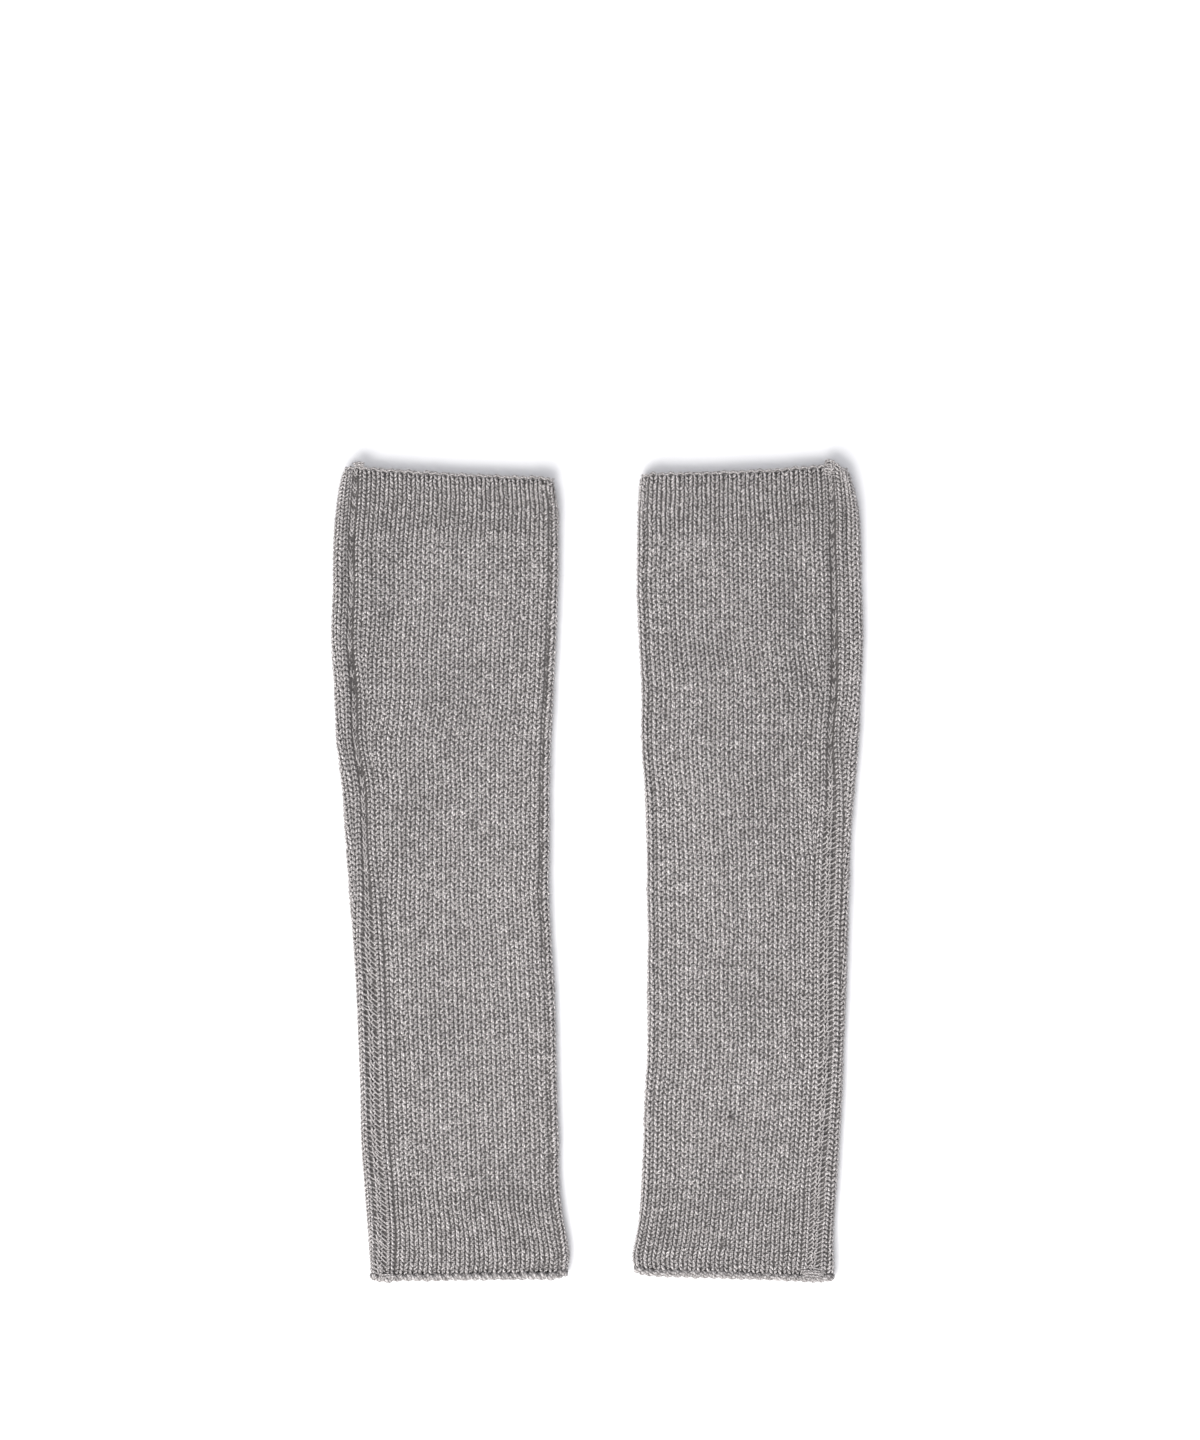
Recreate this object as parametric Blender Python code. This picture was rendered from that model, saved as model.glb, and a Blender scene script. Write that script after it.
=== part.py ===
"""A pair of knitted leg warmers, laid flat side by side on the z = 0 plane.

Each leg warmer is one knitted panel, folded round and linked down its outer side, with a ribbed
band knitted on at the calf and at the ankle. The flat tube lies with its back on the ground, so
it has two layers of cloth with a narrow slit between them and a rounded fold at each side.

+X runs across the pair, +Y from the ankle to the calf, +Z up. The origin is under the middle of
the pair. Sizes are in millimetres until a vertex is made.
"""

import math
from collections import namedtuple

import bmesh
import bpy
import numpy as np

MM = 0.001

# Cloth
WALL = 2.2
GAP = 0.3
FOLD_RADIUS = 3.3
FOLD_REACH = 13.0

# Ribbed bands
CALF_BAND_START = 166.0
ANKLE_BAND_END = -158.0
RIB_RISE = 0.55
RIB_SHOULDERS = (0.3, 0.7)
RIBS_ROUND_A_FOLD = 2
EDGE_ROLL = 0.45
EDGE_ROLL_LENGTH = 3.4

# Places where the cut edges lean and their corners are rounded
LEAN_REACH = 28.0
CORNER_WIDTH = 7.0

# Side seam
SEAM_GROOVE_WIDTH = 2.4
SEAM_HALF_WIDTH = 1.7
SEAM_RISE = 0.35
SEAM_CLEARANCE = 4.5

# Mesh fineness
PANEL_STEP = 20.0
PANEL_SPANS_ACROSS = 16
BAND_STEP = 11.0
SPANS_UNDER = 8
PLAIN_FOLD_SPANS = 5
STRIP_SPANS = 2
SEAM_STEP = 12.0

YARN_GREY = (0.315, 0.297, 0.290, 1.0)
SEAM_GREY = (0.250, 0.236, 0.230, 1.0)

# One row for each level from ankle to calf: the level, the x of the outer fold, of the inner fold
# and of the side seam, the height of the top layer, and the depth of the groove along the seam
Level = namedtuple("Level", "y outer inner seam height groove")

LEFT_LEVELS = [
    Level(-200.4, -111.7, -15.4, -107.9, 6.0, 0.5),
    Level(-193.8, -112.2, -14.2, -107.6, 5.8, 0.7),
    Level(-182.9, -112.8, -15.2, -107.5, 5.6, 0.8),
    Level(-170.5, -113.7, -17.4, -107.8, 5.5, 0.8),
    Level(-158.2, -114.7, -18.8, -108.5, 5.4, 0.8),
    Level(-133.4, -116.5, -19.3, -110.4, 5.4, 0.8),
    Level(-108.7, -116.9, -20.1, -111.2, 5.4, 0.8),
    Level(-83.9, -117.9, -20.6, -111.8, 5.4, 0.8),
    Level(-59.2, -118.9, -21.4, -112.5, 5.3, 0.8),
    Level(-34.4, -120.6, -23.1, -113.6, 5.3, 0.9),
    Level(-9.7, -122.6, -24.1, -114.0, 5.3, 0.9),
    Level(15.1, -124.4, -23.9, -115.2, 5.3, 0.9),
    Level(39.8, -126.0, -23.9, -115.9, 5.3, 1.0),
    Level(64.6, -128.9, -23.1, -119.8, 5.4, 1.0),
    Level(89.3, -129.9, -21.9, -120.6, 5.4, 1.2),
    Level(114.1, -131.2, -20.6, -122.5, 5.4, 1.0),
    Level(138.8, -130.5, -19.7, -121.6, 5.5, 0.9),
    Level(163.6, -130.2, -19.4, -121.6, 5.7, 0.9),
    Level(180.4, -128.7, -19.6, -120.3, 6.4, 0.9),
    Level(192.3, -126.8, -21.2, -119.5, 7.1, 0.7),
    Level(199.8, -124.6, -22.0, -119.2, 7.6, 0.5),
]

RIGHT_LEVELS = [
    Level(-200.4, 116.6, 19.0, 106.3, 6.0, 0.5),
    Level(-193.8, 116.9, 17.9, 107.1, 5.8, 0.7),
    Level(-182.9, 116.5, 19.6, 107.8, 5.6, 0.8),
    Level(-170.5, 117.0, 21.3, 108.6, 5.5, 0.8),
    Level(-158.2, 118.1, 22.2, 109.0, 5.4, 0.8),
    Level(-133.4, 119.6, 23.2, 110.8, 5.4, 0.8),
    Level(-108.7, 121.0, 24.2, 112.3, 5.4, 0.8),
    Level(-83.9, 121.8, 25.3, 113.3, 5.4, 0.8),
    Level(-59.2, 123.0, 25.1, 113.3, 5.3, 0.8),
    Level(-34.4, 123.8, 25.5, 113.4, 5.3, 0.9),
    Level(-9.7, 124.5, 25.0, 114.1, 5.3, 0.9),
    Level(15.1, 125.1, 24.8, 114.9, 5.3, 0.9),
    Level(39.8, 127.1, 23.9, 115.7, 5.3, 1.0),
    Level(64.6, 129.2, 22.2, 115.2, 5.4, 1.0),
    Level(89.3, 130.2, 22.3, 117.2, 5.4, 1.2),
    Level(114.1, 131.2, 20.9, 117.4, 5.4, 1.0),
    Level(138.8, 130.6, 20.0, 117.2, 5.5, 0.9),
    Level(163.6, 130.2, 20.2, 116.4, 5.7, 0.9),
    Level(180.4, 128.8, 20.7, 116.2, 6.4, 0.9),
    Level(192.3, 126.3, 21.2, 115.4, 7.1, 0.7),
    Level(199.8, 123.9, 21.9, 114.6, 7.6, 0.5),
]

# A band's edge: its y at the outer and at the inner fold, how far each corner is rounded off, and
# the ribs on the front and on the strip between the seam and the outer fold
Edge = namedtuple("Edge", "outer inner outer_corner inner_corner front_ribs strip_ribs")
Warmer = namedtuple("Warmer", "name levels calf ankle")

WARMERS = [
    Warmer("left", LEFT_LEVELS, Edge(202.4, 195.8, 2.6, 1.6, 22, 1), Edge(-201.9, -198.6, 0.8, 1.2, 21, 0)),
    Warmer("right", RIGHT_LEVELS, Edge(202.5, 197.2, 4.6, 1.6, 22, 2), Edge(-202.4, -198.2, 1.0, 1.2, 20, 1)),
]

# A place round the flat tube: the zone, how far along that zone, and 1 on a rib's crown or 0 off it
Place = namedtuple("Place", "zone along crown")


def clear_scene():
    for thing in list(bpy.data.objects):
        bpy.data.objects.remove(thing, do_unlink=True)


def make_material(name, colour):
    material = bpy.data.materials.new(name)
    material.use_nodes = True
    shader = material.node_tree.nodes["Principled BSDF"]
    shader.inputs["Base Color"].default_value = colour
    shader.inputs["Roughness"].default_value = 0.95
    shader.inputs["Metallic"].default_value = 0.0
    return material


def level_at(levels, y):
    """One Level at y, on a smooth curve through the rows."""
    rows = np.array(levels)
    ys = rows[:, 0]
    slopes = np.gradient(rows, ys, axis=0)
    k = int(np.clip(np.searchsorted(ys, y) - 1, 0, len(ys) - 2))
    span = ys[k + 1] - ys[k]
    t = float(np.clip((y - ys[k]) / span, 0.0, 1.0))
    row = (
        (2 * t**3 - 3 * t**2 + 1) * rows[k]
        + (t**3 - 2 * t**2 + t) * span * slopes[k]
        + (3 * t**2 - 2 * t**3) * rows[k + 1]
        + (t**3 - t**2) * span * slopes[k + 1]
    )
    row[0] = y
    return Level(*row)


def fade(distance, reach):
    """1 at no distance, falling smoothly to 0 at reach."""
    t = min(max(distance / reach, 0.0), 1.0)
    return 1.0 - t * t * (3.0 - 2.0 * t)


def edge_y(edge, across, width):
    """y of a cut edge, a part of the way across from the inner fold, with its corners rounded off."""
    y = edge.inner + (edge.outer - edge.inner) * across
    inward = -math.copysign(1.0, edge.outer)
    y += inward * edge.outer_corner * fade((1.0 - across) * width, CORNER_WIDTH)
    return y + inward * edge.inner_corner * fade(across * width, CORNER_WIDTH)


def leaning_y(warmer, level, across, width):
    """y of a point on a level. Levels near a cut edge lean over to follow it."""
    y = level.y
    for edge, row in ((warmer.calf, warmer.levels[-1]), (warmer.ankle, warmer.levels[0])):
        share = fade(abs(level.y - row.y), LEAN_REACH)
        y += share * (edge_y(edge, across, width) - row.y)
    return y


def fold_height(level):
    return 1.16 * level.height


def groove_depth(level, from_seam):
    return level.groove * math.exp(-((from_seam / SEAM_GROOVE_WIDTH) ** 2))


def top_height(level, c, width, seam):
    """Height of the outer face of the top layer, c from the inner fold."""
    near = min(c, width - c) - FOLD_RADIUS
    rise = (fold_height(level) - level.height) * fade(near, FOLD_REACH)
    return level.height + rise - groove_depth(level, c - seam)


def cloth_point(warmer, level, place, inside, rib_rise, roll):
    """One point of the wall, on its outer or its inner face. Ribs and a rolled edge raise it."""
    width = abs(level.outer - level.inner)
    seam = abs(level.seam - level.inner)
    wall = WALL if inside else 0.0
    raised = 0.0 if inside else rib_rise * place.crown
    if place.zone in ("front", "strip"):
        start = seam - GAP / 2 if place.zone == "front" else width - FOLD_RADIUS
        end = FOLD_RADIUS if place.zone == "front" else seam + GAP / 2
        c = start + (end - start) * place.along
        clear_of_seam = 1.0 - fade(abs(c - seam), SEAM_CLEARANCE)
        z = top_height(level, c, width, seam) - wall + (raised + roll) * clear_of_seam
    elif place.zone == "back":
        c = FOLD_RADIUS + (width - 2 * FOLD_RADIUS) * place.along
        z = wall
    else:
        outer_fold = place.zone == "outer_fold"
        turn = math.pi * (1.0 - place.along if outer_fold else place.along)
        on_top = 0.5 + 0.5 * math.cos(turn)
        from_edge = FOLD_RADIUS * (1.0 - math.sin(turn))
        from_seam = abs((width - from_edge if outer_fold else from_edge) - seam)
        clear_of_seam = 1.0 - fade(from_seam, SEAM_CLEARANCE)
        half = (fold_height(level) + roll * clear_of_seam) / 2
        raised *= on_top * clear_of_seam
        c = from_edge + (wall - raised) * math.sin(turn)
        z = half + (half - wall + raised) * math.cos(turn) - on_top * groove_depth(level, from_seam)
        c = width - c if outer_fold else c
    side = math.copysign(1.0, level.outer)
    y = leaning_y(warmer, level, c / width, width)
    return ((level.inner + side * c) * MM, y * MM, z * MM)


def plain_places():
    """Places round a wall with no ribs, from one side of the seam to the other."""
    places = [Place("front", k / PANEL_SPANS_ACROSS, 0) for k in range(PANEL_SPANS_ACROSS + 1)]
    places += [Place("inner_fold", k / PLAIN_FOLD_SPANS, 0) for k in range(1, PLAIN_FOLD_SPANS + 1)]
    places += [Place("back", k / SPANS_UNDER, 0) for k in range(1, SPANS_UNDER + 1)]
    places += [Place("outer_fold", k / PLAIN_FOLD_SPANS, 0) for k in range(1, PLAIN_FOLD_SPANS + 1)]
    return places + [Place("strip", k / STRIP_SPANS, 0) for k in range(1, STRIP_SPANS + 1)]


def ribs_in(zone, count):
    """Places over count ribs: the two shoulders of each crown, then the groove after it."""
    places = []
    for rib in range(count):
        places += [Place(zone, (rib + shoulder) / count, 1) for shoulder in RIB_SHOULDERS]
        places.append(Place(zone, (rib + 1) / count, 0))
    return places


def ribbed_places(front_ribs, strip_ribs):
    """Places round a ribbed wall, whose underside is plain."""
    places = [Place("front", 0.0, 0)] + ribs_in("front", front_ribs)
    places += ribs_in("inner_fold", RIBS_ROUND_A_FOLD)
    places += [Place("back", k / SPANS_UNDER, 0) for k in range(1, SPANS_UNDER + 1)]
    strip = ribs_in("strip", strip_ribs) if strip_ribs else [Place("strip", 1.0, 0)]
    return places + ribs_in("outer_fold", RIBS_ROUND_A_FOLD) + strip


def add_object(name, points, faces, material, collection):
    """An object with a mesh of these faces, all turned outwards."""
    mesh = bpy.data.meshes.new(name)
    mesh.from_pydata(points, [], faces)
    shape = bmesh.new()
    shape.from_mesh(mesh)
    bmesh.ops.recalc_face_normals(shape, faces=shape.faces)
    if shape.calc_volume(signed=True) < 0:
        bmesh.ops.reverse_faces(shape, faces=shape.faces)
    shape.to_mesh(mesh)
    shape.free()
    mesh.materials.append(material)
    mesh.shade_smooth()
    mesh.set_sharp_from_angle(angle=math.radians(50))
    thing = bpy.data.objects.new(name, mesh)
    collection.objects.link(thing)
    return thing


def loft_wall(name, warmer, sections, places, material, collection):
    """A wall from one side of the seam round to the other, with an inner point at each place off a crown.

    sections is a list of (level, rib rise, height of the rolled edge).
    """
    inner_at = [i for i, place in enumerate(places) if not place.crown]
    outer_count = len(places)
    ring = outer_count + len(inner_at)
    points = []
    for level, rib_rise, roll in sections:
        points += [cloth_point(warmer, level, place, False, rib_rise, roll) for place in places]
        points += [cloth_point(warmer, level, places[i], True, 0.0, roll) for i in inner_at]
    faces = []
    last = (len(sections) - 1) * ring
    for base in range(0, last, ring):
        for k in [*range(outer_count - 1), *range(outer_count, ring - 1)]:
            faces.append((base + k, base + k + 1, base + ring + k + 1, base + ring + k))
        for outer, inner in ((0, outer_count), (outer_count - 1, ring - 1)):
            faces.append((base + outer, base + inner, base + ring + inner, base + ring + outer))
    for base in (0, last):
        for k in range(len(inner_at) - 1):
            outer_run = [base + i for i in range(inner_at[k], inner_at[k + 1] + 1)]
            faces.append(outer_run + [base + outer_count + k + 1, base + outer_count + k])
    return add_object(name, points, faces, material, collection)


def spread(start, end, step):
    """Even levels from start to end, about a step apart."""
    return list(np.linspace(start, end, max(2, round(abs(end - start) / step) + 1)))


def make_leg_panel(warmer, material, collection):
    ys = spread(ANKLE_BAND_END + GAP / 2, CALF_BAND_START - GAP / 2, PANEL_STEP)
    sections = [(level_at(warmer.levels, y), 0.0, 0.0) for y in ys]
    return loft_wall(warmer.name + "_leg_panel", warmer, sections, plain_places(), material, collection)


def make_rib_band(warmer, name, joined_y, edge, edge_level, material, collection):
    """A ribbed band from where it joins the panel to its rolled edge."""
    inward = math.copysign(1.0, joined_y - edge_level.y)
    ys = spread(joined_y, edge_level.y + inward * EDGE_ROLL_LENGTH, BAND_STEP)
    sections = [(level_at(warmer.levels, y), RIB_RISE, 0.0) for y in ys]
    sections[0] = (sections[0][0], 0.4 * RIB_RISE, 0.0)
    roll_level = level_at(warmer.levels, edge_level.y + 0.5 * inward * EDGE_ROLL_LENGTH)
    sections.append((roll_level, 0.7 * RIB_RISE, EDGE_ROLL))
    sections.append((edge_level, 0.3 * RIB_RISE, 0.0))
    places = ribbed_places(edge.front_ribs, edge.strip_ribs)
    return loft_wall(warmer.name + name, warmer, sections, places, material, collection)


def make_side_seam(warmer, material, collection):
    """The linking chain, which lies in the seam's groove from edge to edge."""
    ys = spread(warmer.levels[0].y, warmer.levels[-1].y, SEAM_STEP)
    half = SEAM_HALF_WIDTH
    under = (-half, 0.0, half)
    over = (0.6 * half, 0.0, -0.6 * half)
    points = []
    for y in ys:
        level = level_at(warmer.levels, y)
        width = abs(level.outer - level.inner)
        seam = abs(level.seam - level.inner)
        side = math.copysign(1.0, level.outer)
        heights = [top_height(level, seam + d, width, seam) + 1.3 * GAP for d in under]
        crown = max(heights) + SEAM_RISE
        heights += [crown, crown + 0.5 * SEAM_RISE, crown]
        for d, z in zip(under + over, heights):
            c = seam + d
            leaning = leaning_y(warmer, level, c / width, width)
            points.append(((level.inner + side * c) * MM, leaning * MM, z * MM))
    ring = len(under + over)
    last = (len(ys) - 1) * ring
    faces = [list(range(ring)), list(range(last, last + ring))]
    for base in range(0, last, ring):
        for k in range(ring):
            following = (k + 1) % ring
            faces.append((base + k, base + following, base + ring + following, base + ring + k))
    return add_object(warmer.name + "_side_seam", points, faces, material, collection)


def main():
    clear_scene()
    collection = bpy.data.collections.new("leg_warmers")
    bpy.context.scene.collection.children.link(collection)
    for warmer in WARMERS:
        panel_wool = make_material(warmer.name + "_panel_wool", YARN_GREY)
        calf_wool = make_material(warmer.name + "_calf_rib_wool", YARN_GREY)
        ankle_wool = make_material(warmer.name + "_ankle_rib_wool", YARN_GREY)
        seam_wool = make_material(warmer.name + "_seam_wool", SEAM_GREY)
        make_leg_panel(warmer, panel_wool, collection)
        calf_y = CALF_BAND_START + GAP / 2
        ankle_y = ANKLE_BAND_END - GAP / 2
        make_rib_band(warmer, "_calf_rib", calf_y, warmer.calf, warmer.levels[-1], calf_wool, collection)
        make_rib_band(warmer, "_ankle_rib", ankle_y, warmer.ankle, warmer.levels[0], ankle_wool, collection)
        make_side_seam(warmer, seam_wool, collection)


main()
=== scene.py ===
"""Looks of a pair of heather grey knitted leg warmers, laid flat side by side.

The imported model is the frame. Each leg warmer is knitted over its solid, loop by loop: a course is
one yarn that runs from the side seam round the flat tube and back to the seam, and a thin shell of
matted wool lies behind the loops. +X runs across the pair and +Y from the ankles to the calves.
Lengths are in millimetres until a vertex is made.
"""

import logging
import math
from dataclasses import dataclass, field
from enum import Enum
from typing import TypeVar

import bpy
import numpy as np
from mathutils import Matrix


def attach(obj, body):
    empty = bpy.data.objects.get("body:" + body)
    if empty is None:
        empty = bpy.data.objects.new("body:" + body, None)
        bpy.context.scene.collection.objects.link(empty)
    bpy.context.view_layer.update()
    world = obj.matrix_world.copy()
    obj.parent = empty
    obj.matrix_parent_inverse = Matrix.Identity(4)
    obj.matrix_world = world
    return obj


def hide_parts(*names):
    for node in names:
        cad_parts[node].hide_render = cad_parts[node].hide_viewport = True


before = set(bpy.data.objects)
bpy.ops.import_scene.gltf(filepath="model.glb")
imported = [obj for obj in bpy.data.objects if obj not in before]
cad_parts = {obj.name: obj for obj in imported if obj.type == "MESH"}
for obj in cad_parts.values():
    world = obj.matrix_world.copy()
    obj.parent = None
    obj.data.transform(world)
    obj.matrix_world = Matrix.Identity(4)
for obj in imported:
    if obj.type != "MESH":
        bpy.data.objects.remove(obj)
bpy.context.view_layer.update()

LOG = logging.getLogger("leg_warmers")

Array = np.ndarray
Colour = tuple[float, float, float]
Point = tuple[float, float, float]
Measures = TypeVar("Measures")

MM = 0.001
SHORTEST_VECTOR = 1e-9
BODY = "root"

# The cloth, as its solid has it
FOLD_RADIUS = 3.3
FOLD_LIFT = 1.16
FOLD_REACH = 13.0
FOLD_FULLNESS = 0.8
LEAN_REACH = 28.0
CORNER_WIDTH = 7.0
SEAM_GROOVE_WIDTH = 2.4
CALF_BAND_START = 166.0
ANKLE_BAND_END = -158.0
SLOPE_STEP = 0.2

# Levels past both ends, where the panel is shared between two pieces, and how long the change from
# a band's stitches to the panel's takes
PAST_CALF = 210.0
PAST_ANKLE = -210.0
HALFWAY = 4.0
BAND_CHANGE = 8.0

# The level at which a leg warmer's ankle end is measured
ANKLE_LEVEL = -199.0

# The yarn's own map: a band for each course, and its whole width for a length of yarn
MAP_COURSES = 72
MAP_LENGTH = 760.0
MAP_BAND = 0.92


class Side(Enum):
    """Which leg warmer of the pair, as the camera sees it."""

    LEFT = "left"
    RIGHT = "right"

    @property
    def sign(self) -> float:
        """-1 for the left and 1 for the right, the way in which the outer fold lies."""
        return -1.0 if self is Side.LEFT else 1.0


class Slot(Enum):
    """The record's material slots."""

    KNIT = "heather_wool"
    SEAM = "seam_wool"


def fade(distance: Array | float, reach: float) -> Array:
    """Fall smoothly from 1 to 0.

    Args:
        distance: how far from the place of full effect.
        reach: the distance at which the effect has gone.

    Returns:
        The share of the effect that is left.
    """
    t = np.clip(np.asarray(distance, dtype=float) / reach, 0.0, 1.0)
    return 1.0 - t * t * (3.0 - 2.0 * t)


def unit(vectors: Array) -> Array:
    """Scale vectors to length 1.

    Args:
        vectors: one vector in each row.

    Returns:
        The unit vectors.
    """
    lengths = np.linalg.norm(vectors, axis=-1, keepdims=True)
    return vectors / np.maximum(lengths, SHORTEST_VECTOR)


def between(first: Measures, second: Measures, share: float) -> Measures:
    """Mix two sets of measures of one kind, field by field.

    Args:
        first: the measures to start from.
        second: the measures to move towards.
        share: how much of the second, from 0 to 1.

    Returns:
        The measures between them.
    """
    pairs = zip(vars(first).values(), vars(second).values())
    return type(first)(*(a + (b - a) * share for a, b in pairs))


@dataclass(frozen=True)
class Level:
    """One level of a flat tube: the x of its folds and its seam, and its heights."""

    y: float
    outer: float
    inner: float
    seam: float
    height: float
    groove: float


@dataclass(frozen=True)
class EdgeLine:
    """A cut edge: its y at the two folds, how far each corner is rounded off, and its middle's sag."""

    outer: float
    inner: float
    outer_corner: float
    inner_corner: float
    sag: float = 0.0


@dataclass(frozen=True)
class Trough:
    """A soft hollow in the top layer, or a ridge where its depth is below zero."""

    x: float
    y: float
    bearing: float
    length: float
    width: float
    depth: float

    def depth_at(self, x: Array, y: Array) -> Array:
        """Work out how deep the hollow is.

        Args:
            x: places across the pair.
            y: places along it.

        Returns:
            The depth at each place.
        """
        turn = math.radians(self.bearing)
        along = (x - self.x) * math.cos(turn) + (y - self.y) * math.sin(turn)
        across = (y - self.y) * math.cos(turn) - (x - self.x) * math.sin(turn)
        return self.depth * np.exp(-((along / self.length) ** 2) - (across / self.width) ** 2)


# The levels of both tubes: y, the height, the depth of the seam's groove, and the x of the outer
# fold, the inner fold and the seam on the left one and on the right one
LEVEL_ROWS = (
    (-200.4, 6.0, 0.5, (-111.7, -15.4, -107.9), (116.6, 19.0, 106.3)),
    (-193.8, 5.8, 0.7, (-112.2, -14.2, -107.6), (116.9, 17.9, 107.1)),
    (-182.9, 5.6, 0.8, (-112.8, -15.2, -107.5), (116.5, 19.6, 107.8)),
    (-170.5, 5.5, 0.8, (-113.7, -17.4, -107.8), (117.0, 21.3, 108.6)),
    (-158.2, 5.4, 0.8, (-114.7, -18.8, -108.5), (118.1, 22.2, 109.0)),
    (-133.4, 5.4, 0.8, (-116.5, -19.3, -110.4), (119.6, 23.2, 110.8)),
    (-108.7, 5.4, 0.8, (-116.9, -20.1, -111.2), (121.0, 24.2, 112.3)),
    (-83.9, 5.4, 0.8, (-117.9, -20.6, -111.8), (121.8, 25.3, 113.3)),
    (-59.2, 5.3, 0.8, (-118.9, -21.4, -112.5), (123.0, 25.1, 113.3)),
    (-34.4, 5.3, 0.9, (-120.6, -23.1, -113.6), (123.8, 25.5, 113.4)),
    (-9.7, 5.3, 0.9, (-122.6, -24.1, -114.0), (124.5, 25.0, 114.1)),
    (15.1, 5.3, 0.9, (-124.4, -23.9, -115.2), (125.1, 24.8, 114.9)),
    (39.8, 5.3, 1.0, (-126.0, -23.9, -115.9), (127.1, 23.9, 115.7)),
    (64.6, 5.4, 1.0, (-128.9, -23.1, -119.8), (129.2, 22.2, 115.2)),
    (89.3, 5.4, 1.2, (-129.9, -21.9, -120.6), (130.2, 22.3, 117.2)),
    (114.1, 5.4, 1.0, (-131.2, -20.6, -122.5), (131.2, 20.9, 117.4)),
    (138.8, 5.5, 0.9, (-130.5, -19.7, -121.6), (130.6, 20.0, 117.2)),
    (163.6, 5.7, 0.9, (-130.2, -19.4, -121.6), (130.2, 20.2, 116.4)),
    (180.4, 6.4, 0.9, (-128.7, -19.6, -120.3), (128.8, 20.7, 116.2)),
    (192.3, 7.1, 0.7, (-126.8, -21.2, -119.5), (126.3, 21.2, 115.4)),
    (199.8, 7.6, 0.5, (-124.6, -22.0, -119.2), (123.9, 21.9, 114.6)),
)
LEFT_LEVELS = tuple(Level(y, *x, height, groove) for y, height, groove, x, _ in LEVEL_ROWS)
RIGHT_LEVELS = tuple(Level(y, *x, height, groove) for y, height, groove, _, x in LEVEL_ROWS)

# Soft troughs and ridges: x, y, bearing in degrees, length, width, depth
LEFT_TROUGHS = (
    Trough(-125.2, 140.0, 88.0, 20.0, 0.9, 0.75),
    Trough(-119.8, 150.0, 93.0, 20.0, 0.8, 0.60),
    Trough(-121.4, 128.0, 91.0, 52.0, 1.8, 0.50),
    Trough(-111.7, 156.0, 92.0, 24.0, 1.5, 0.60),
    Trough(-117.0, 72.0, 96.0, 26.0, 2.0, 0.70),
    Trough(-124.4, 62.0, 102.0, 18.0, 1.4, 0.55),
    Trough(-121.6, 28.0, 100.0, 15.0, 1.4, 0.50),
    Trough(-104.0, 138.0, 78.0, 34.0, 9.0, 0.45),
    Trough(-62.0, 96.0, 24.0, 30.0, 12.0, 0.30),
    Trough(-88.0, 34.0, 70.0, 42.0, 10.0, 0.32),
    Trough(-44.0, -6.0, 95.0, 38.0, 11.0, -0.28),
    Trough(-78.0, -74.0, 12.0, 26.0, 13.0, 0.26),
    Trough(-56.0, -150.0, 150.0, 30.0, 12.0, 0.30),
)

RIGHT_TROUGHS = (
    Trough(123.2, 172.0, 90.0, 15.0, 0.9, 0.75),
    Trough(116.2, 147.0, 91.0, 16.0, 0.9, 0.60),
    Trough(117.2, 132.0, 90.0, 50.0, 1.8, 0.55),
    Trough(112.6, 112.0, 104.0, 15.0, 1.5, 0.50),
    Trough(112.4, 48.0, 100.0, 18.0, 1.6, 0.50),
    Trough(120.4, 66.0, 82.0, 22.0, 1.5, 0.50),
    Trough(124.0, 150.0, 95.0, 20.0, 1.5, 0.45),
    Trough(96.0, 128.0, 100.0, 40.0, 9.0, 0.45),
    Trough(56.0, 110.0, 160.0, 26.0, 13.0, 0.26),
    Trough(84.0, 44.0, 84.0, 36.0, 11.0, 0.30),
    Trough(46.0, 8.0, 92.0, 44.0, 10.0, -0.28),
    Trough(74.0, -62.0, 170.0, 30.0, 12.0, 0.28),
    Trough(64.0, -146.0, 30.0, 28.0, 12.0, 0.30),
)


@dataclass(frozen=True)
class Section:
    """The measures of a flat tube at some levels: one value for each level asked for."""

    inner: Array
    width: Array
    seam: Array
    height: Array
    groove: Array

    @property
    def fold_height(self) -> Array:
        """Height of the tube at its folds, where the cloth turns over."""
        return FOLD_LIFT * self.height

    @property
    def quarter(self) -> Array:
        """Length of cloth in half a fold, a quarter of an ellipse."""
        a, b = FOLD_RADIUS, self.fold_height / 2
        return math.pi / 4 * (3 * (a + b) - np.sqrt((3 * a + b) * (a + 3 * b)))

    @property
    def front_arc(self) -> Array:
        """Length of cloth from the middle of the inner fold over the front to the seam."""
        return self.quarter + self.seam - FOLD_RADIUS

    @property
    def back_arc(self) -> Array:
        """Length of cloth from the middle of the inner fold round the back to the seam."""
        back = self.width - 2 * FOLD_RADIUS
        strip = self.width - FOLD_RADIUS - self.seam
        return 3 * self.quarter + back + strip

    def top_height(self, across: Array) -> Array:
        """Find the height of the top layer's outer face.

        Args:
            across: distances from the inner edge.

        Returns:
            The height at each distance.
        """
        near = np.minimum(across, self.width - across) - FOLD_RADIUS
        rise = (self.fold_height - self.height) * fade(near, FOLD_REACH)
        from_seam = (across - self.seam) / SEAM_GROOVE_WIDTH
        return self.height + rise - self.groove * np.exp(-(from_seam**2))


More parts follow.
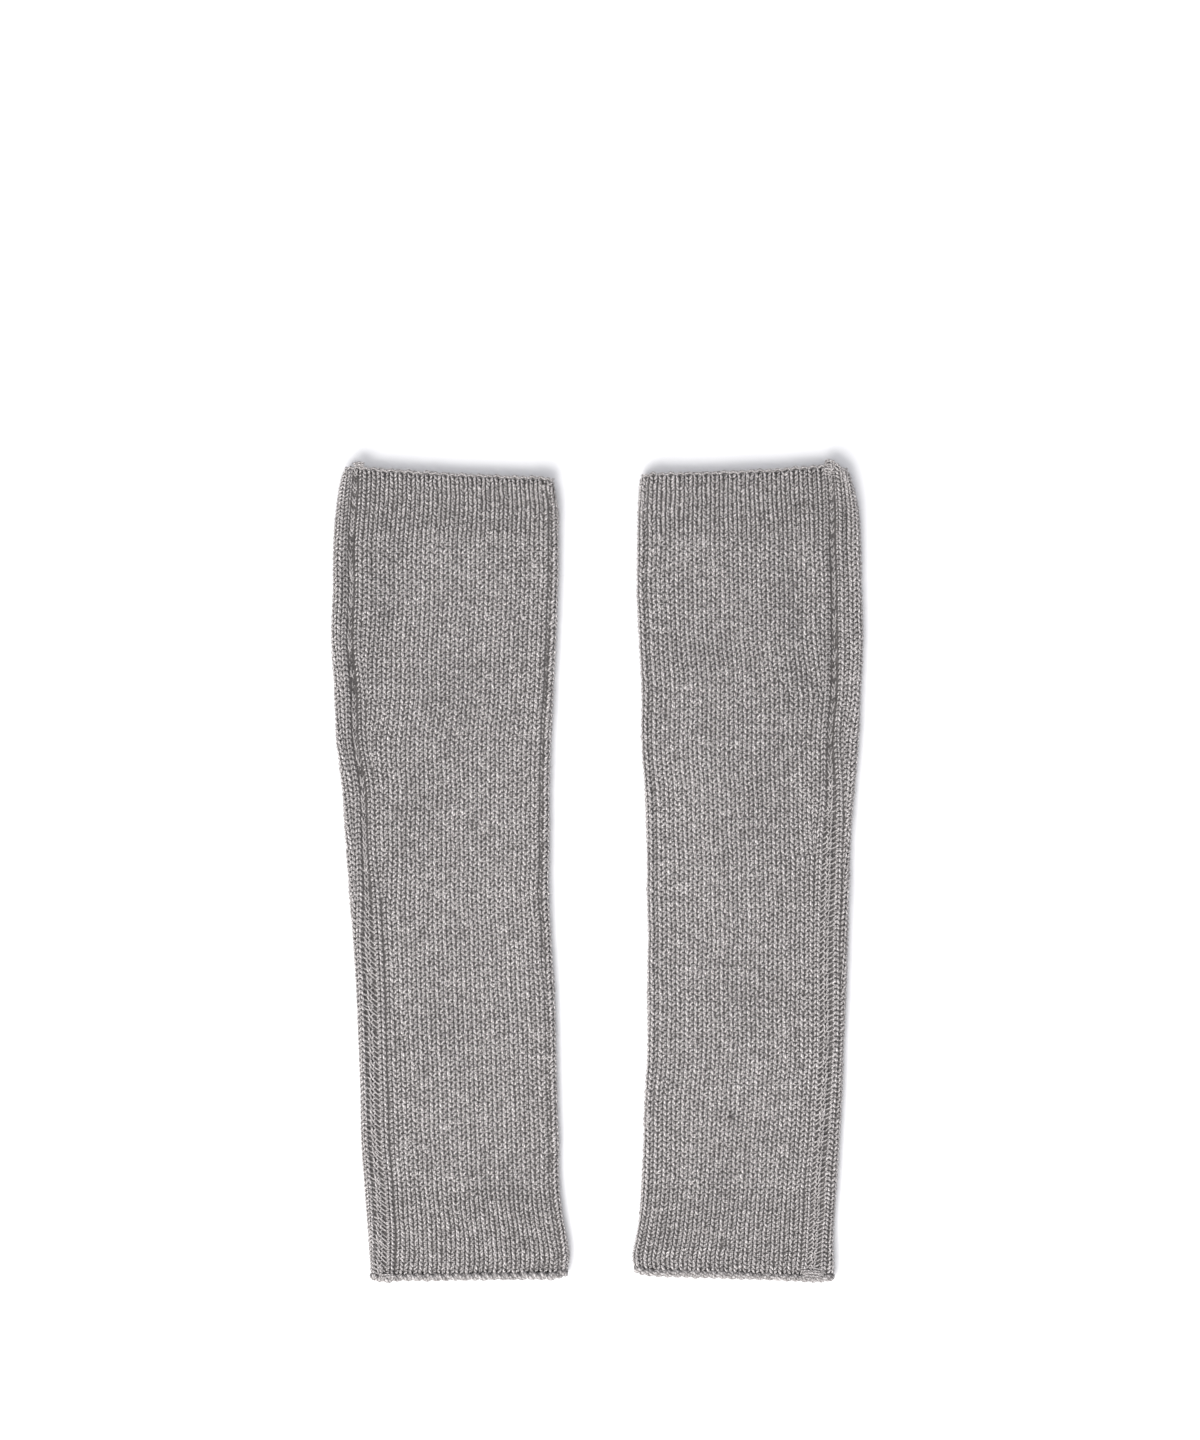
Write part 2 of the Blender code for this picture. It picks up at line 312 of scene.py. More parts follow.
@dataclass(frozen=True)
class FlatTube:
    """The form of one leg warmer: a tube of cloth laid flat, with its back on the ground."""

    side: Side
    levels: tuple[Level, ...]
    calf: EdgeLine
    ankle: EdgeLine
    troughs: tuple[Trough, ...]

    def named(self, part: str) -> str:
        """Name one of its parts."""
        return f"{self.side.value}_{part}"

    def section(self, y: Array | float) -> Section:
        """Measure the tube at some levels, on smooth curves through the table's rows.

        Args:
            y: the levels.

        Returns:
            The measures at each level.
        """
        y = np.atleast_1d(np.asarray(y, dtype=float))
        rows = np.array([[r.y, r.outer, r.inner, r.seam, r.height, r.groove] for r in self.levels])
        ys = rows[:, 0]
        slopes = np.gradient(rows, ys, axis=0)
        k = np.clip(np.searchsorted(ys, y) - 1, 0, len(ys) - 2)
        span = (ys[k + 1] - ys[k])[:, None]
        t = np.clip((y - ys[k])[:, None] / span, 0.0, 1.0)
        row = (
            (2 * t**3 - 3 * t**2 + 1) * rows[k]
            + (t**3 - 2 * t**2 + t) * span * slopes[k]
            + (3 * t**2 - 2 * t**3) * rows[k + 1]
            + (t**3 - t**2) * span * slopes[k + 1]
        )
        _, outer, inner, seam, height, groove = row.T
        return Section(inner, np.abs(outer - inner), np.abs(seam - inner), height, groove)

    def leaning(self, y: Array, share: Array, width: Array) -> Array:
        """Lean the levels near a cut edge over, to follow that edge.

        Args:
            y: the levels.
            share: how far across from the inner fold, as a share of the width.
            width: the width at each level.

        Returns:
            The y of each point.
        """
        out = np.array(y, dtype=float)
        for edge, row in ((self.calf, self.levels[-1]), (self.ankle, self.levels[0])):
            inward = -math.copysign(1.0, edge.outer)
            line = edge.inner + (edge.outer - edge.inner) * share
            line = line + inward * edge.sag * 4 * share * (1 - share)
            line = line + inward * edge.outer_corner * fade((1.0 - share) * width, CORNER_WIDTH)
            line = line + inward * edge.inner_corner * fade(share * width, CORNER_WIDTH)
            out += fade(np.abs(y - row.y), LEAN_REACH) * (line - row.y)
        return out

    def dip(self, x: Array, y: Array) -> Array:
        """Add up the troughs.

        Args:
            x: places across the pair.
            y: places along it.

        Returns:
            How far the top layer dips at each place.
        """
        return sum(trough.depth_at(x, y) for trough in self.troughs)

    def place(self, y: Array, arc: Array, lift: Array | float) -> tuple[Array, Array]:
        """Find points on the cloth, or off its outer face, from their places in the knitting.

        Args:
            y: the levels.
            arc: distances round the cloth from the middle of the inner fold, over the front to the
                seam where they are above zero, and round the back where they are below it.
            lift: distances out from the cloth's outer face.

        Returns:
            The points, and the directions straight out of the cloth there.
        """
        m = self.section(y)
        quarter, half = m.quarter, m.fold_height / 2
        on_back = -arc - quarter
        past_back = on_back - (m.width - 2 * FOLD_RADIUS)
        past_fold = past_back - 2 * quarter
        inner_turn = np.clip(arc / quarter, -1.0, 1.0) * math.pi / 2
        outer_turn = np.clip(past_back / quarter - 1.0, -1.0, 1.0) * math.pi / 2
        zones = [arc > quarter, arc >= -quarter, past_back < 0, past_fold < 0]

        def pick(front: Array, inner: Array, back: Array, outer: Array, strip: Array) -> Array:
            """Take each point's value from the zone in which it lies."""
            return np.select(zones, [front, inner, back, outer], strip)

        across = pick(
            FOLD_RADIUS + arc - quarter,
            FOLD_RADIUS * (1 - np.cos(inner_turn)),
            FOLD_RADIUS + on_back,
            m.width - FOLD_RADIUS * (1 - np.cos(outer_turn)),
            m.width - FOLD_RADIUS - past_fold,
        )
        zero, one = np.zeros_like(across), np.ones_like(across)
        turn = pick(one, np.sin(inner_turn), -one, np.sin(outer_turn), one)
        on_top = 0.5 + 0.5 * turn
        from_seam = (across - m.seam) / SEAM_GROOVE_WIDTH
        folded = half * (1 + turn) - on_top * m.groove * np.exp(-(from_seam**2))
        top = m.top_height(across)
        z = pick(top, folded, folded, folded, top)
        rise = m.top_height(across + SLOPE_STEP) - m.top_height(across - SLOPE_STEP)
        slope = rise / (2 * SLOPE_STEP)
        bulge = np.sqrt(np.maximum(1 - turn**2, 0.0))
        outward = pick(-slope, -bulge, zero, bulge, -slope)
        sign = self.side.sign
        x = m.inner + sign * across
        normals = unit(np.stack([sign * outward, zero, turn], axis=1))
        leaning = self.leaning(y, across / m.width, m.width)
        z = z - on_top * self.dip(x, leaning)
        points = np.stack([x, leaning, z], axis=1)
        out = np.reshape(lift, -1) + FOLD_FULLNESS * bulge
        return points + normals * out[:, None], normals


@dataclass(frozen=True)
class Wales:
    """The columns of stitches in one half of the panel, and the levels at which some of them end.

    selvedge is the width of the one beside the seam, as a share of a wale. A wale that ends narrows
    to narrowest of its width over the length narrowing, and the others ease over easing on both
    sides of its end. beside_seam is how many of them take up what is left.
    """

    at_calf: int
    ends: tuple[float, ...]
    selvedge: float = 0.6
    narrowing: float = 32.0
    narrowest: float = 0.22
    easing: float = 42.0
    beside_seam: int = 5

    def bounds(self, y: float, arc: float) -> Array:
        """Share the cloth out among the wales of one course.

        The wales keep one width from the inner fold on, which eases over a long way past each end,
        and the few beside the seam take up the rest.

        Args:
            y: the course's level.
            arc: the length of cloth from the middle of the inner fold to the seam.

        Returns:
            The boundaries of the wales, from 0 at the inner fold to the seam.
        """
        shares = np.ones(self.at_calf)
        shares[-1] = self.selvedge
        gone = 0.0
        for number, end in enumerate(self.ends):
            left = 1.0 - (1.0 - self.narrowest) * float(fade(y - end, self.narrowing))
            shares[self.at_calf - 2 - number] = left if y > end else 0.0
            gone += float(fade(y - end + self.easing, 2 * self.easing))
        kept = shares[shares > 0]
        width = arc / (self.at_calf - 1 + self.selvedge - gone)
        even = width * np.arange(len(kept) - self.beside_seam + 1)
        beside = np.cumsum(kept[-self.beside_seam :])
        return np.concatenate([even, even[-1] + beside * (arc - even[-1]) / beside[-1]])


@dataclass(frozen=True)
class Gauge:
    """How the stitches are drawn up in one stretch of the knitting.

    course is the height of a course, sway the sideways swing of a loop's legs as a share of its
    wale, reach half the height of a loop as a share of a course, and depth half the distance by
    which heads and feet lie behind legs. crown is how far a wale's middle stands over its grooves,
    yarn the radius of the yarn, flat how much of it is left in its height, and rise how far the
    stretch stands over the panel. tilt is how far a loop's feet lie over the head that they leave.
    """

    course: float
    sway: float
    reach: float
    depth: float
    crown: float
    yarn: float
    flat: float
    rise: float
    tilt: float


PANEL_GAUGE = Gauge(
    course=2.59, sway=0.25, reach=0.66, depth=0.49, crown=0.04,
    yarn=0.78, flat=0.82, rise=0.0, tilt=0.15,
)
CALF_GAUGE = Gauge(
    course=1.90, sway=0.25, reach=0.70, depth=0.76, crown=0.08,
    yarn=0.64, flat=0.88, rise=0.10, tilt=0.18,
)
ANKLE_GAUGE = Gauge(
    course=2.03, sway=0.25, reach=0.70, depth=0.63, crown=0.12,
    yarn=0.67, flat=0.88, rise=0.15, tilt=0.18,
)


def gauge_at(y: float) -> Gauge:
    """Find how the stitches are drawn up at a level, with a soft change from band to panel.

    Args:
        y: the level.

    Returns:
        The gauge there.
    """
    calf = 1.0 - float(fade(y - CALF_BAND_START + BAND_CHANGE / 2, BAND_CHANGE))
    ankle = 1.0 - float(fade(ANKLE_BAND_END + BAND_CHANGE / 2 - y, BAND_CHANGE))
    return between(between(PANEL_GAUGE, CALF_GAUGE, calf), ANKLE_GAUGE, ankle)


@dataclass(frozen=True)
class Strand:
    """One yarn's path: its points, the way out of the cloth, and its half width and half height.

    lift is how far each point lies out from the cloth's outer face, as its painted shade reads it, and
    band the band of the yarn's map that the yarn takes.
    """

    points: Array
    normals: Array
    half_width: Array
    half_height: Array
    lift: Array
    band: int = 0


@dataclass
class MeshParts:
    """Vertices, faces and map corners that are gathered for one mesh."""

    vertices: list[Array] = field(default_factory=list)
    corners: list[Array] = field(default_factory=list)
    sizes: list[Array] = field(default_factory=list)
    maps: list[Array] = field(default_factory=list)
    painted_light_shares: list[Array] = field(default_factory=list)
    count: int = 0

    def add(
        self, vertices: Array, faces: Array, corners_map: Array, relief: Array | None = None
    ) -> None:
        """Add some faces of one size, and any vertices that come with them.

        Args:
            vertices: new vertices, one in each row.
            faces: indices into the new vertices, one face in each row.
            corners_map: the map place of each corner of each face.
            relief: each vertex's share of painted light, from 0, painted shade as in a hollow, to 1 on
                top.
        """
        self.vertices.append(vertices)
        self.painted_light_shares.append(np.ones(len(vertices)) if relief is None else relief)
        self.count += len(vertices)
        self.more_faces(faces, corners_map, len(vertices))

    def more_faces(self, faces: Array, corners_map: Array, back: int) -> None:
        """Add faces on the vertices that were added last.

        Args:
            faces: indices into those vertices, one face in each row.
            corners_map: the map place of each corner of each face.
            back: how many vertices were added last.
        """
        self.corners.append((faces + self.count - back).ravel())
        self.sizes.append(np.full(len(faces), faces.shape[1]))
        self.maps.append(corners_map.reshape(-1, 2))

    def triangles(self) -> int:
        """Count the triangles of all the faces."""
        return int(sum((size - 2).sum() for size in self.sizes))

    def to_object(self, name: str, material: bpy.types.Material) -> bpy.types.Object:
        """Make an object of what was gathered.

        Args:
            name: the object's name.
            material: its material.

        Returns:
            The object, linked into the scene.
        """
        mesh = bpy.data.meshes.new(name)
        points = np.concatenate(self.vertices) * MM
        corners, sizes = np.concatenate(self.corners), np.concatenate(self.sizes)
        starts = np.concatenate([[0], np.cumsum(sizes)[:-1]])
        mesh.vertices.add(len(points))
        mesh.vertices.foreach_set("co", points.astype(np.float32).ravel())
        mesh.loops.add(len(corners))
        mesh.loops.foreach_set("vertex_index", corners.astype(np.int32))
        mesh.polygons.add(len(sizes))
        mesh.polygons.foreach_set("loop_start", starts.astype(np.int32))
        mesh.update(calc_edges=True)
        places = np.concatenate(self.maps).astype(np.float32).ravel()
        for map_name in ("YarnWay", "OFBake"):
            mesh.uv_layers.new(name=map_name).data.foreach_set("uv", places)
        # Each vertex's share of painted light, which the wool's painted shade reads
        relief = mesh.attributes.new("PaintedLight", "FLOAT", "POINT")
        relief.data.foreach_set("value", np.concatenate(self.painted_light_shares).astype(np.float32))
        mesh.shade_smooth()
        mesh.materials.append(material)
        thing = bpy.data.objects.new(name, mesh)
        bpy.context.scene.collection.objects.link(thing)
        return thing


# Lifts between which a yarn's painted colour goes from the painted shade of a hollow to full
# painted light, and how much painted light the sides of a yarn whose light is given lose
HOLLOW_LIFT = -1.35
TOP_LIFT = -0.55
SIDE_SHADE = 0.2


def spin(parts: MeshParts, strand: Strand, sides: int = 4, lit: float | None = None) -> None:
    """Sweep a yarn of an oval section along its path, closed at both ends.

    Args:
        parts: where the yarn is added.
        strand: the yarn's path.
        sides: how many sides the yarn has.
        lit: how much painted light its top gets, or nothing to work that out from how it lies.
    """
    points = strand.points
    count = len(points)
    tangents = unit(np.gradient(points, axis=0))
    across = unit(np.cross(tangents, strand.normals))
    upward = unit(np.cross(across, tangents))
    angles = np.arange(sides) / sides * 2 * math.pi
    ring = (
        points[:, None, :]
        + strand.half_width[:, None, None] * np.cos(angles)[None, :, None] * across[:, None, :]
        + strand.half_height[:, None, None] * np.sin(angles)[None, :, None] * upward[:, None, :]
    )
    i = np.arange(count - 1)[:, None] * sides
    k = np.arange(sides)[None, :]
    after = (k + 1) % sides
    faces = np.stack([i + k, i + sides + k, i + sides + after, i + after], axis=2).reshape(-1, 4)
    length = np.concatenate([[0.0], np.cumsum(np.linalg.norm(np.diff(points, axis=0), axis=1))])
    u = np.minimum(length / MAP_LENGTH, 1.0)
    v = (strand.band + 0.5 * (1 - MAP_BAND) + MAP_BAND * np.arange(sides + 1) / sides) / MAP_COURSES
    low, high, near, far = u[:-1, None], u[1:, None], v[None, :-1], v[None, 1:]
    ends = [(low, near), (high, near), (high, far), (low, far)]
    corners = np.stack([np.stack(np.broadcast_arrays(*end), axis=2) for end in ends], axis=2)
    # Painted shade: each vertex's share of painted light, from how deep it lies, or from lit with
    # darker sides
    stands = strand.lift[:, None] + strand.half_height[:, None] * np.sin(angles)[None, :]
    relief = 1.0 - fade(stands - HOLLOW_LIFT, TOP_LIFT - HOLLOW_LIFT)
    if lit is not None:
        shade = 1.0 - SIDE_SHADE + SIDE_SHADE * np.sin(angles)
        relief = np.broadcast_to(lit * shade, stands.shape)
    parts.add(ring.reshape(-1, 3), faces, corners.reshape(-1, 4, 2), relief.ravel())
    for cap, at in ((np.arange(sides), 0), (np.arange(sides)[::-1] + (count - 1) * sides, -1)):
        places = np.stack([np.full(sides, u[at]), v[:-1]], axis=1)
        parts.more_faces(cap[None, :], places[None], count * sides)


# Turns of a loop at which its yarn gets a ring: all of it where it shows, and its legs elsewhere
FINE_TURNS = np.array([-math.pi, -2.25, -1.57, -0.9, 0.0, 0.9, 1.57, 2.25])
PLAIN_TURNS = np.array([-2.19, -0.95, 0.95, 2.19])


@dataclass(frozen=True)
class Unevenness:
    """Slow waves by which a hand-laid knit strays from its even net.

    longest and shortest are the lengths of the waves, drift is how fast they change across their
    way, and slant how far each may turn from it.
    """

    seed: int
    longest: float
    shortest: float
    drift: float
    waves: int = 9
    slant: float = 0.6

    def at(self, along: Array | float, across: Array | float) -> Array:
        """Add up the waves.

        Args:
            along: places on the way in which the waves run.
            across: places across it.

        Returns:
            A value about from -1 to 1 at each place.
        """
        draw = np.random.default_rng(self.seed)
        drifted = across * self.drift
        total = np.zeros(np.broadcast(along, drifted).shape)
        for _ in range(self.waves):
            wave = draw.uniform(self.shortest, self.longest)
            bearing = draw.uniform(-self.slant, self.slant)
            phase = draw.uniform(0.0, 2 * math.pi)
            total += np.sin(2 * math.pi * (along + bearing * drifted) / wave + phase)
        return total / math.sqrt(self.waves)


# Shares of the folds in which loops get all their turns, and the ripple's lengths along the seam
SEEN_OF_INNER_FOLD = 0.4
HIDDEN_OF_OUTER_FOLD = 0.6
LONG_RIPPLE = 7.0
SHORT_RIPPLE = 3.1

# What a leg warmer's seed is multiplied by for its courses, and what is added to it for the rest
COURSE_SEEDS = 1000
BOW_SEED = 3
QUICK_BOW_SEED = 5
CHAIN_SEED = 5
NAP_SEED = 9
KNOT_SEED = 40


@dataclass(frozen=True)
class Stretch:
    """One stretch of the knitting, which is a piece of its own and replaces one node."""

    name: str
    top: float
    bottom: float
    node: str


STRETCHES = (
    Stretch("calf_rib_stitches", PAST_CALF, CALF_BAND_START, "calf_rib"),
    Stretch("upper_leg_stitches", CALF_BAND_START, HALFWAY, "leg_panel"),
    Stretch("lower_leg_stitches", HALFWAY, ANKLE_BAND_END, "leg_panel"),
    Stretch("ankle_rib_stitches", ANKLE_BAND_END, PAST_ANKLE, "ankle_rib"),
)


@dataclass(frozen=True)
class Joint:
    """How the chain and the two panel edges lie at one level of the seam.

    gap is how far each panel edge stays from the middle of the seam, width the width of a stitch of
    the chain, rise how high the chain lies, and yarn the radius of its yarn. slant is how much each
    stitch climbs towards the outer fold, shell how much painted light the wool behind it keeps, less
    being painted shade, and shine how much higher the chain is taken to lie where its painted light
    is worked out.
    """

    gap: float
    width: float
    rise: float
    yarn: float
    slant: float
    shell: float
    shine: float


TIGHT_JOINT = Joint(gap=0.92, width=1.6, rise=-0.85, yarn=0.42, slant=0.6, shell=0.9, shine=0.15)
OPEN_JOINT = Joint(gap=2.9, width=2.9, rise=-0.10, yarn=0.48, slant=0.65, shell=1.0, shine=0.05)


@dataclass(frozen=True)
class Joining:
    """How the joint changes along the leg.

    From the calf down to linked_from the edges are pulled together and the chain lies deep between
    them. Below it the chain shows, as a ladder of open stitches. front_groove and strip_groove are
    how deep the cloth dips one wale from the seam, on the front and on the strip beside the fold,
    and tight_groove how deep both edges dip where they are pulled together. change is how far above
    and below linked_from the joint changes.
    """

    linked_from: float
    front_groove: float
    strip_groove: float
    tight_groove: float = 0.62
    change: float = 30.0

    def openness(self, y: float) -> float:
        """Find how open the joint is at a level, from 0 where it is tight to 1.

        Args:
            y: the level.

        Returns:
            The share.
        """
        return float(fade(y - self.linked_from + self.change, 2 * self.change))

    def at(self, y: float) -> Joint:
        """Find the joint at a level.

        Args:
            y: the level.

        Returns:
            The joint there.
        """
        return between(TIGHT_JOINT, OPEN_JOINT, self.openness(y))


@dataclass
class Knitting:
    """All the courses of one leg warmer.

    stray is how far the wales wander, once past stray_reach from the seam, and loop_stray how far
    single loops do, which seam_calm takes off beside the seam. bow and quick_bow are the long and
    the short waves of the courses, which fade within end_reach of the ends. fold_groove is the dip
    beside the inner fold, groove_shift how far past the fold it lies, and ripple how much the dips
    beside the open seam change along it. A dip is groove_width wide, and tight_widening of that
    more where the joint is tight. seam_crown raises the wales within crown_reach of the seam, and
    seam_sunk lowers them where the joint is tight. pinch is how much thinner the yarn is at heads
    and feet, puff how much a risen loop swells, and thinnest how thin it gets in a narrow wale.
    """

    tube: FlatTube
    front: Wales
    back: Wales
    joining: Joining
    seed: int
    first_course: float = 197.2
    last_course: float = -197.7
    end_slack: float = 0.5
    end_reach: float = 26.0
    stray: float = 0.28
    stray_reach: float = 9.0
    loop_stray: float = 0.24
    seam_calm: float = 0.65
    bow: float = 0.9
    quick_bow: float = 0.42
    fold_groove: float = 0.9
    groove_shift: float = 0.3
    groove_width: float = 0.85
    tight_widening: float = 0.35
    ripple: float = 0.28
    crease_shade: float = 0.7
    seam_crown: float = 0.34
    seam_sunk: float = 0.35
    crown_reach: float = 14.0
    pinch: float = 0.10
    puff: float = 0.6
    thinnest: float = 0.35

    def courses(self) -> list[float]:
        """Space the courses by their gauge, and stretch them a little to end at the last one.

        Returns:
            Their levels, from the calf edge down to the ankle edge.
        """
        levels, y = [], self.first_course
        while y > self.last_course - self.end_slack:
            levels.append(y)
            y -= gauge_at(y).course
        stretch = (self.last_course - self.first_course) / (levels[-1] - self.first_course)
        return [self.first_course + (level - self.first_course) * stretch for level in levels]

    def wale_edges(self, y: float, gap: float = 0.0) -> Array:
        """Find where the wales of one course meet.

        Args:
            y: the course's level.
            gap: how far both edges of the panel stay from the seam.

        Returns:
            The places round the cloth, from the seam over the front and the back to the seam again.
        """
        m = self.tube.section(y)
        front = self.front.bounds(y, float(m.front_arc[0]) - gap)
        back = self.back.bounds(y, float(m.back_arc[0]) - gap)
        return np.concatenate([front[::-1], -back[1:]])

    def dipped(self, lift: Array, arc: Array, y: float, edges: Array) -> Array:
        """Sink the yarn in the dips beside the seam and beside the inner fold.

        Args:
            lift: how far the yarn lies out from the cloth.
            arc: its places round the cloth.
            y: the course's level.
            edges: where the course's wales meet.

        Returns:
            The lifts with the dips.
        """
        joining, openness = self.joining, self.joining.openness(y)
        swell = self.ripple * math.sin(y / LONG_RIPPLE + self.seed) * math.sin(y / SHORT_RIPPLE)
        rippled = 1.0 - self.ripple + swell
        fold = float(self.tube.section(y).quarter[0]) + self.groove_shift
        grooves = (
            (edges[0], joining.tight_groove * (1.0 - openness)),
            (edges[-1], joining.tight_groove * (1.0 - openness)),
            (edges[1], joining.front_groove * openness * rippled),
            (edges[-2], joining.strip_groove * openness * rippled),
            (fold, self.fold_groove),
        )
        width = self.groove_width * (1.0 + self.tight_widening - self.tight_widening * openness)
        for middle, depth in grooves:
            lift = lift - depth * np.exp(-(((arc - middle) / width) ** 2))
        return lift

    def strand(self, y: float, number: int, band: int) -> Strand:
        """Lay the yarn of one course.

        Args:
            y: the course's level.
            number: the course's number, counted from the calf.
            band: the band of the yarn's map that it takes.

        Returns:
            The yarn's path from the seam round the tube and back to the seam.
        """
        gauge = gauge_at(y)
        m = self.tube.section(y)
        edges = self.wale_edges(y, self.joining.at(y).gap)
        clear = np.minimum(edges[0] - edges, edges - edges[-1])
        waves = Unevenness(self.seed, longest=120.0, shortest=26.0, drift=2.3)
        wander = self.stray * waves.at(y, edges)
        edges = edges + wander * (1 - fade(clear, self.stray_reach))
        middles, widths = (edges[:-1] + edges[1:]) / 2, edges[:-1] - edges[1:]
        quarter = float(m.quarter[0])
        under = quarter + float(m.width[0]) - 2 * FOLD_RADIUS
        over_inner_fold = middles > -SEEN_OF_INNER_FOLD * quarter
        fine = over_inner_fold | (-middles > under + HIDDEN_OF_OUTER_FOLD * quarter)
        turns = [FINE_TURNS if shows else PLAIN_TURNS for shows in fine]
        owner = np.repeat(np.arange(len(turns)), [len(t) for t in turns])
        t = np.append(np.concatenate(turns), math.pi)
        owner = np.append(owner, len(turns) - 1)
        draw = np.random.default_rng(self.seed * COURSE_SEEDS + number)
        calm = 1.0 - self.seam_calm * fade(clear[1:], self.crown_reach)
        shift = draw.normal(0.0, self.loop_stray, (3, len(turns))) * calm
        aside, along, out = shift[:, owner]
        near_head = 0.5 + 0.5 * np.cos(t)
        share = t / (2 * math.pi) + gauge.sway * np.sin(2 * t)
        arc = middles[owner] - widths[owner] * share + aside * near_head
        level = y + self.row_bow(y, arc) - gauge.reach * gauge.course * np.cos(t)
        level = level + along * near_head
        high = gauge.depth + gauge.crown + gauge.yarn * gauge.flat
        lift = gauge.rise - high - gauge.depth * np.cos(2 * t) - gauge.tilt * np.cos(t)
        lift = self.dipped(lift, arc, y, edges)
        beside_seam = fade(np.minimum(edges[0] - arc, arc - edges[-1]), self.crown_reach)
        crown = gauge.crown + self.seam_crown * beside_seam
        sunk = self.seam_sunk * (1.0 - self.joining.openness(y)) * beside_seam
        lift = lift + crown * (np.cos(2 * math.pi * share) - sunk) + 0.5 * out * near_head
        points, normals = self.tube.place(level, arc, lift)
        shaded = self.tube.dip(points[:, 0], points[:, 1]) * (normals[:, 2] > 0)
        swollen = 1.0 + self.puff * out * near_head
        thick = gauge.yarn * (1.0 - self.pinch * np.cos(2 * t)) * swollen
        room = self.thinnest + (1.0 - self.thinnest) * widths[owner] / widths.mean()
        thick = thick * np.minimum(1.0, room)
        # Painted shade in the troughs: the yarn is taken to lie deeper there when its painted light is
        # worked out
        light_lift = lift - self.crease_shade * shaded
        return Strand(points, normals, thick, thick * gauge.flat, light_lift, band)

    def row_bow(self, y: float, arc: Array) -> Array:
        """Work out how far a course bows and waves from its level, less so near the cut ends.

        Args:
            y: the course's level.
            arc: the places round the cloth.

        Returns:
            The distances from the level.
        """
        seed = self.seed
        slow = Unevenness(seed + BOW_SEED, longest=260.0, shortest=90.0, drift=0.3).at(arc, y)
        quick = Unevenness(seed + QUICK_BOW_SEED, longest=46.0, shortest=13.0, drift=0.5).at(arc, y)
        from_end = min(self.first_course - y, y - self.last_course)
        inside = 1.0 - float(fade(from_end, self.end_reach))
        return inside * (self.bow * slow + self.quick_bow * quick)

    def build(self, stretch: Stretch, material: bpy.types.Material) -> bpy.types.Object:
        """Knit one stretch.

        Args:
            stretch: which courses, and the node that they replace.
            material: the yarn's material.

        Returns:
            The piece.
        """
        parts = MeshParts()
        band = 0
        for number, y in enumerate(self.courses()):
            if stretch.bottom < y <= stretch.top:
                spin(parts, self.strand(y, number, band))
                band += 1
        side = self.tube.side.value
        piece = finished(parts, f"{side}_{stretch.name}", material)
        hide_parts(f"{side}_{stretch.node}")
        return piece


def finished(
    parts: MeshParts, name: str, material: bpy.types.Material
) -> bpy.types.Object:
    """Make a piece of what was gathered and set it on the body.

    Args:
        parts: its vertices and faces.
        name: its name.
        material: its material.

    Returns:
        The piece.
    """
    piece = parts.to_object(name, material)
    LOG.info("%s: %d triangles", piece.name, parts.triangles())
    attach(piece, BODY)
    return piece


@dataclass
class SeamChain:
    """The chain of linking yarn down the side, with a stitch for each course.

    sway, reach and depth are how far a stitch swings across, along and in height. tuck is how far
    its ends go in past the panel's edge, and tuck_depth how deep.
    """

    knitting: Knitting
    sway: float = 0.29
    reach: float = 0.75
    depth: float = 0.28
    flat: float = 0.85
    pinch: float = 0.12
    stray: float = 0.24
    stray_across: float = 0.6
    tuck: float = 0.9
    tuck_depth: float = 0.85

    def stitch(self, y: float, band: int, shift: Array) -> Strand:
        """Lay one stitch of the chain, from one panel edge to the other.

        Args:
            y: the course's level.
            band: the band of the yarn's map.
            shift: how far this stitch strays across, along and in height.

        Returns:
            The yarn's path.
        """
        joint, gauge = self.knitting.joining.at(y), gauge_at(y)
        m = self.knitting.tube.section(y)
        t = np.concatenate([[-math.pi], FINE_TURNS, [math.pi, math.pi]])
        share = t / (2 * math.pi) + self.sway * np.sin(2 * t)
        across = share * joint.width
        across[0], across[-1] = -joint.gap - self.tuck, joint.gap + self.tuck
        level = y + self.reach * gauge.course * np.cos(t) + joint.slant * across + shift[1]
        lift = joint.rise - joint.yarn - self.depth * np.cos(2 * t) + shift[2]
        lift[0] = lift[-1] = joint.rise - self.tuck_depth
        arc = float(m.front_arc[0]) + across + self.stray_across * shift[0]
        points, normals = self.knitting.tube.place(level, arc, lift)
        thick = joint.yarn * (1.0 - self.pinch * np.cos(2 * t))
        return Strand(points, normals, thick, thick * self.flat, lift + joint.shine, band)

    def build(self, material: bpy.types.Material) -> bpy.types.Object:
        """Link the whole seam.

        Args:
            material: the yarn's material.

        Returns:
            The piece.
        """
        parts = MeshParts()
        draw = np.random.default_rng(self.knitting.seed + CHAIN_SEED)
        for number, y in enumerate(self.knitting.courses()):
            shift = draw.normal(0.0, self.stray, 3)
            spin(parts, self.stitch(y, number % MAP_COURSES, shift))
        side = self.knitting.tube.side.value
        piece = finished(parts, f"{side}_seam_chain", material)
        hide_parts(f"{side}_side_seam")
        return piece


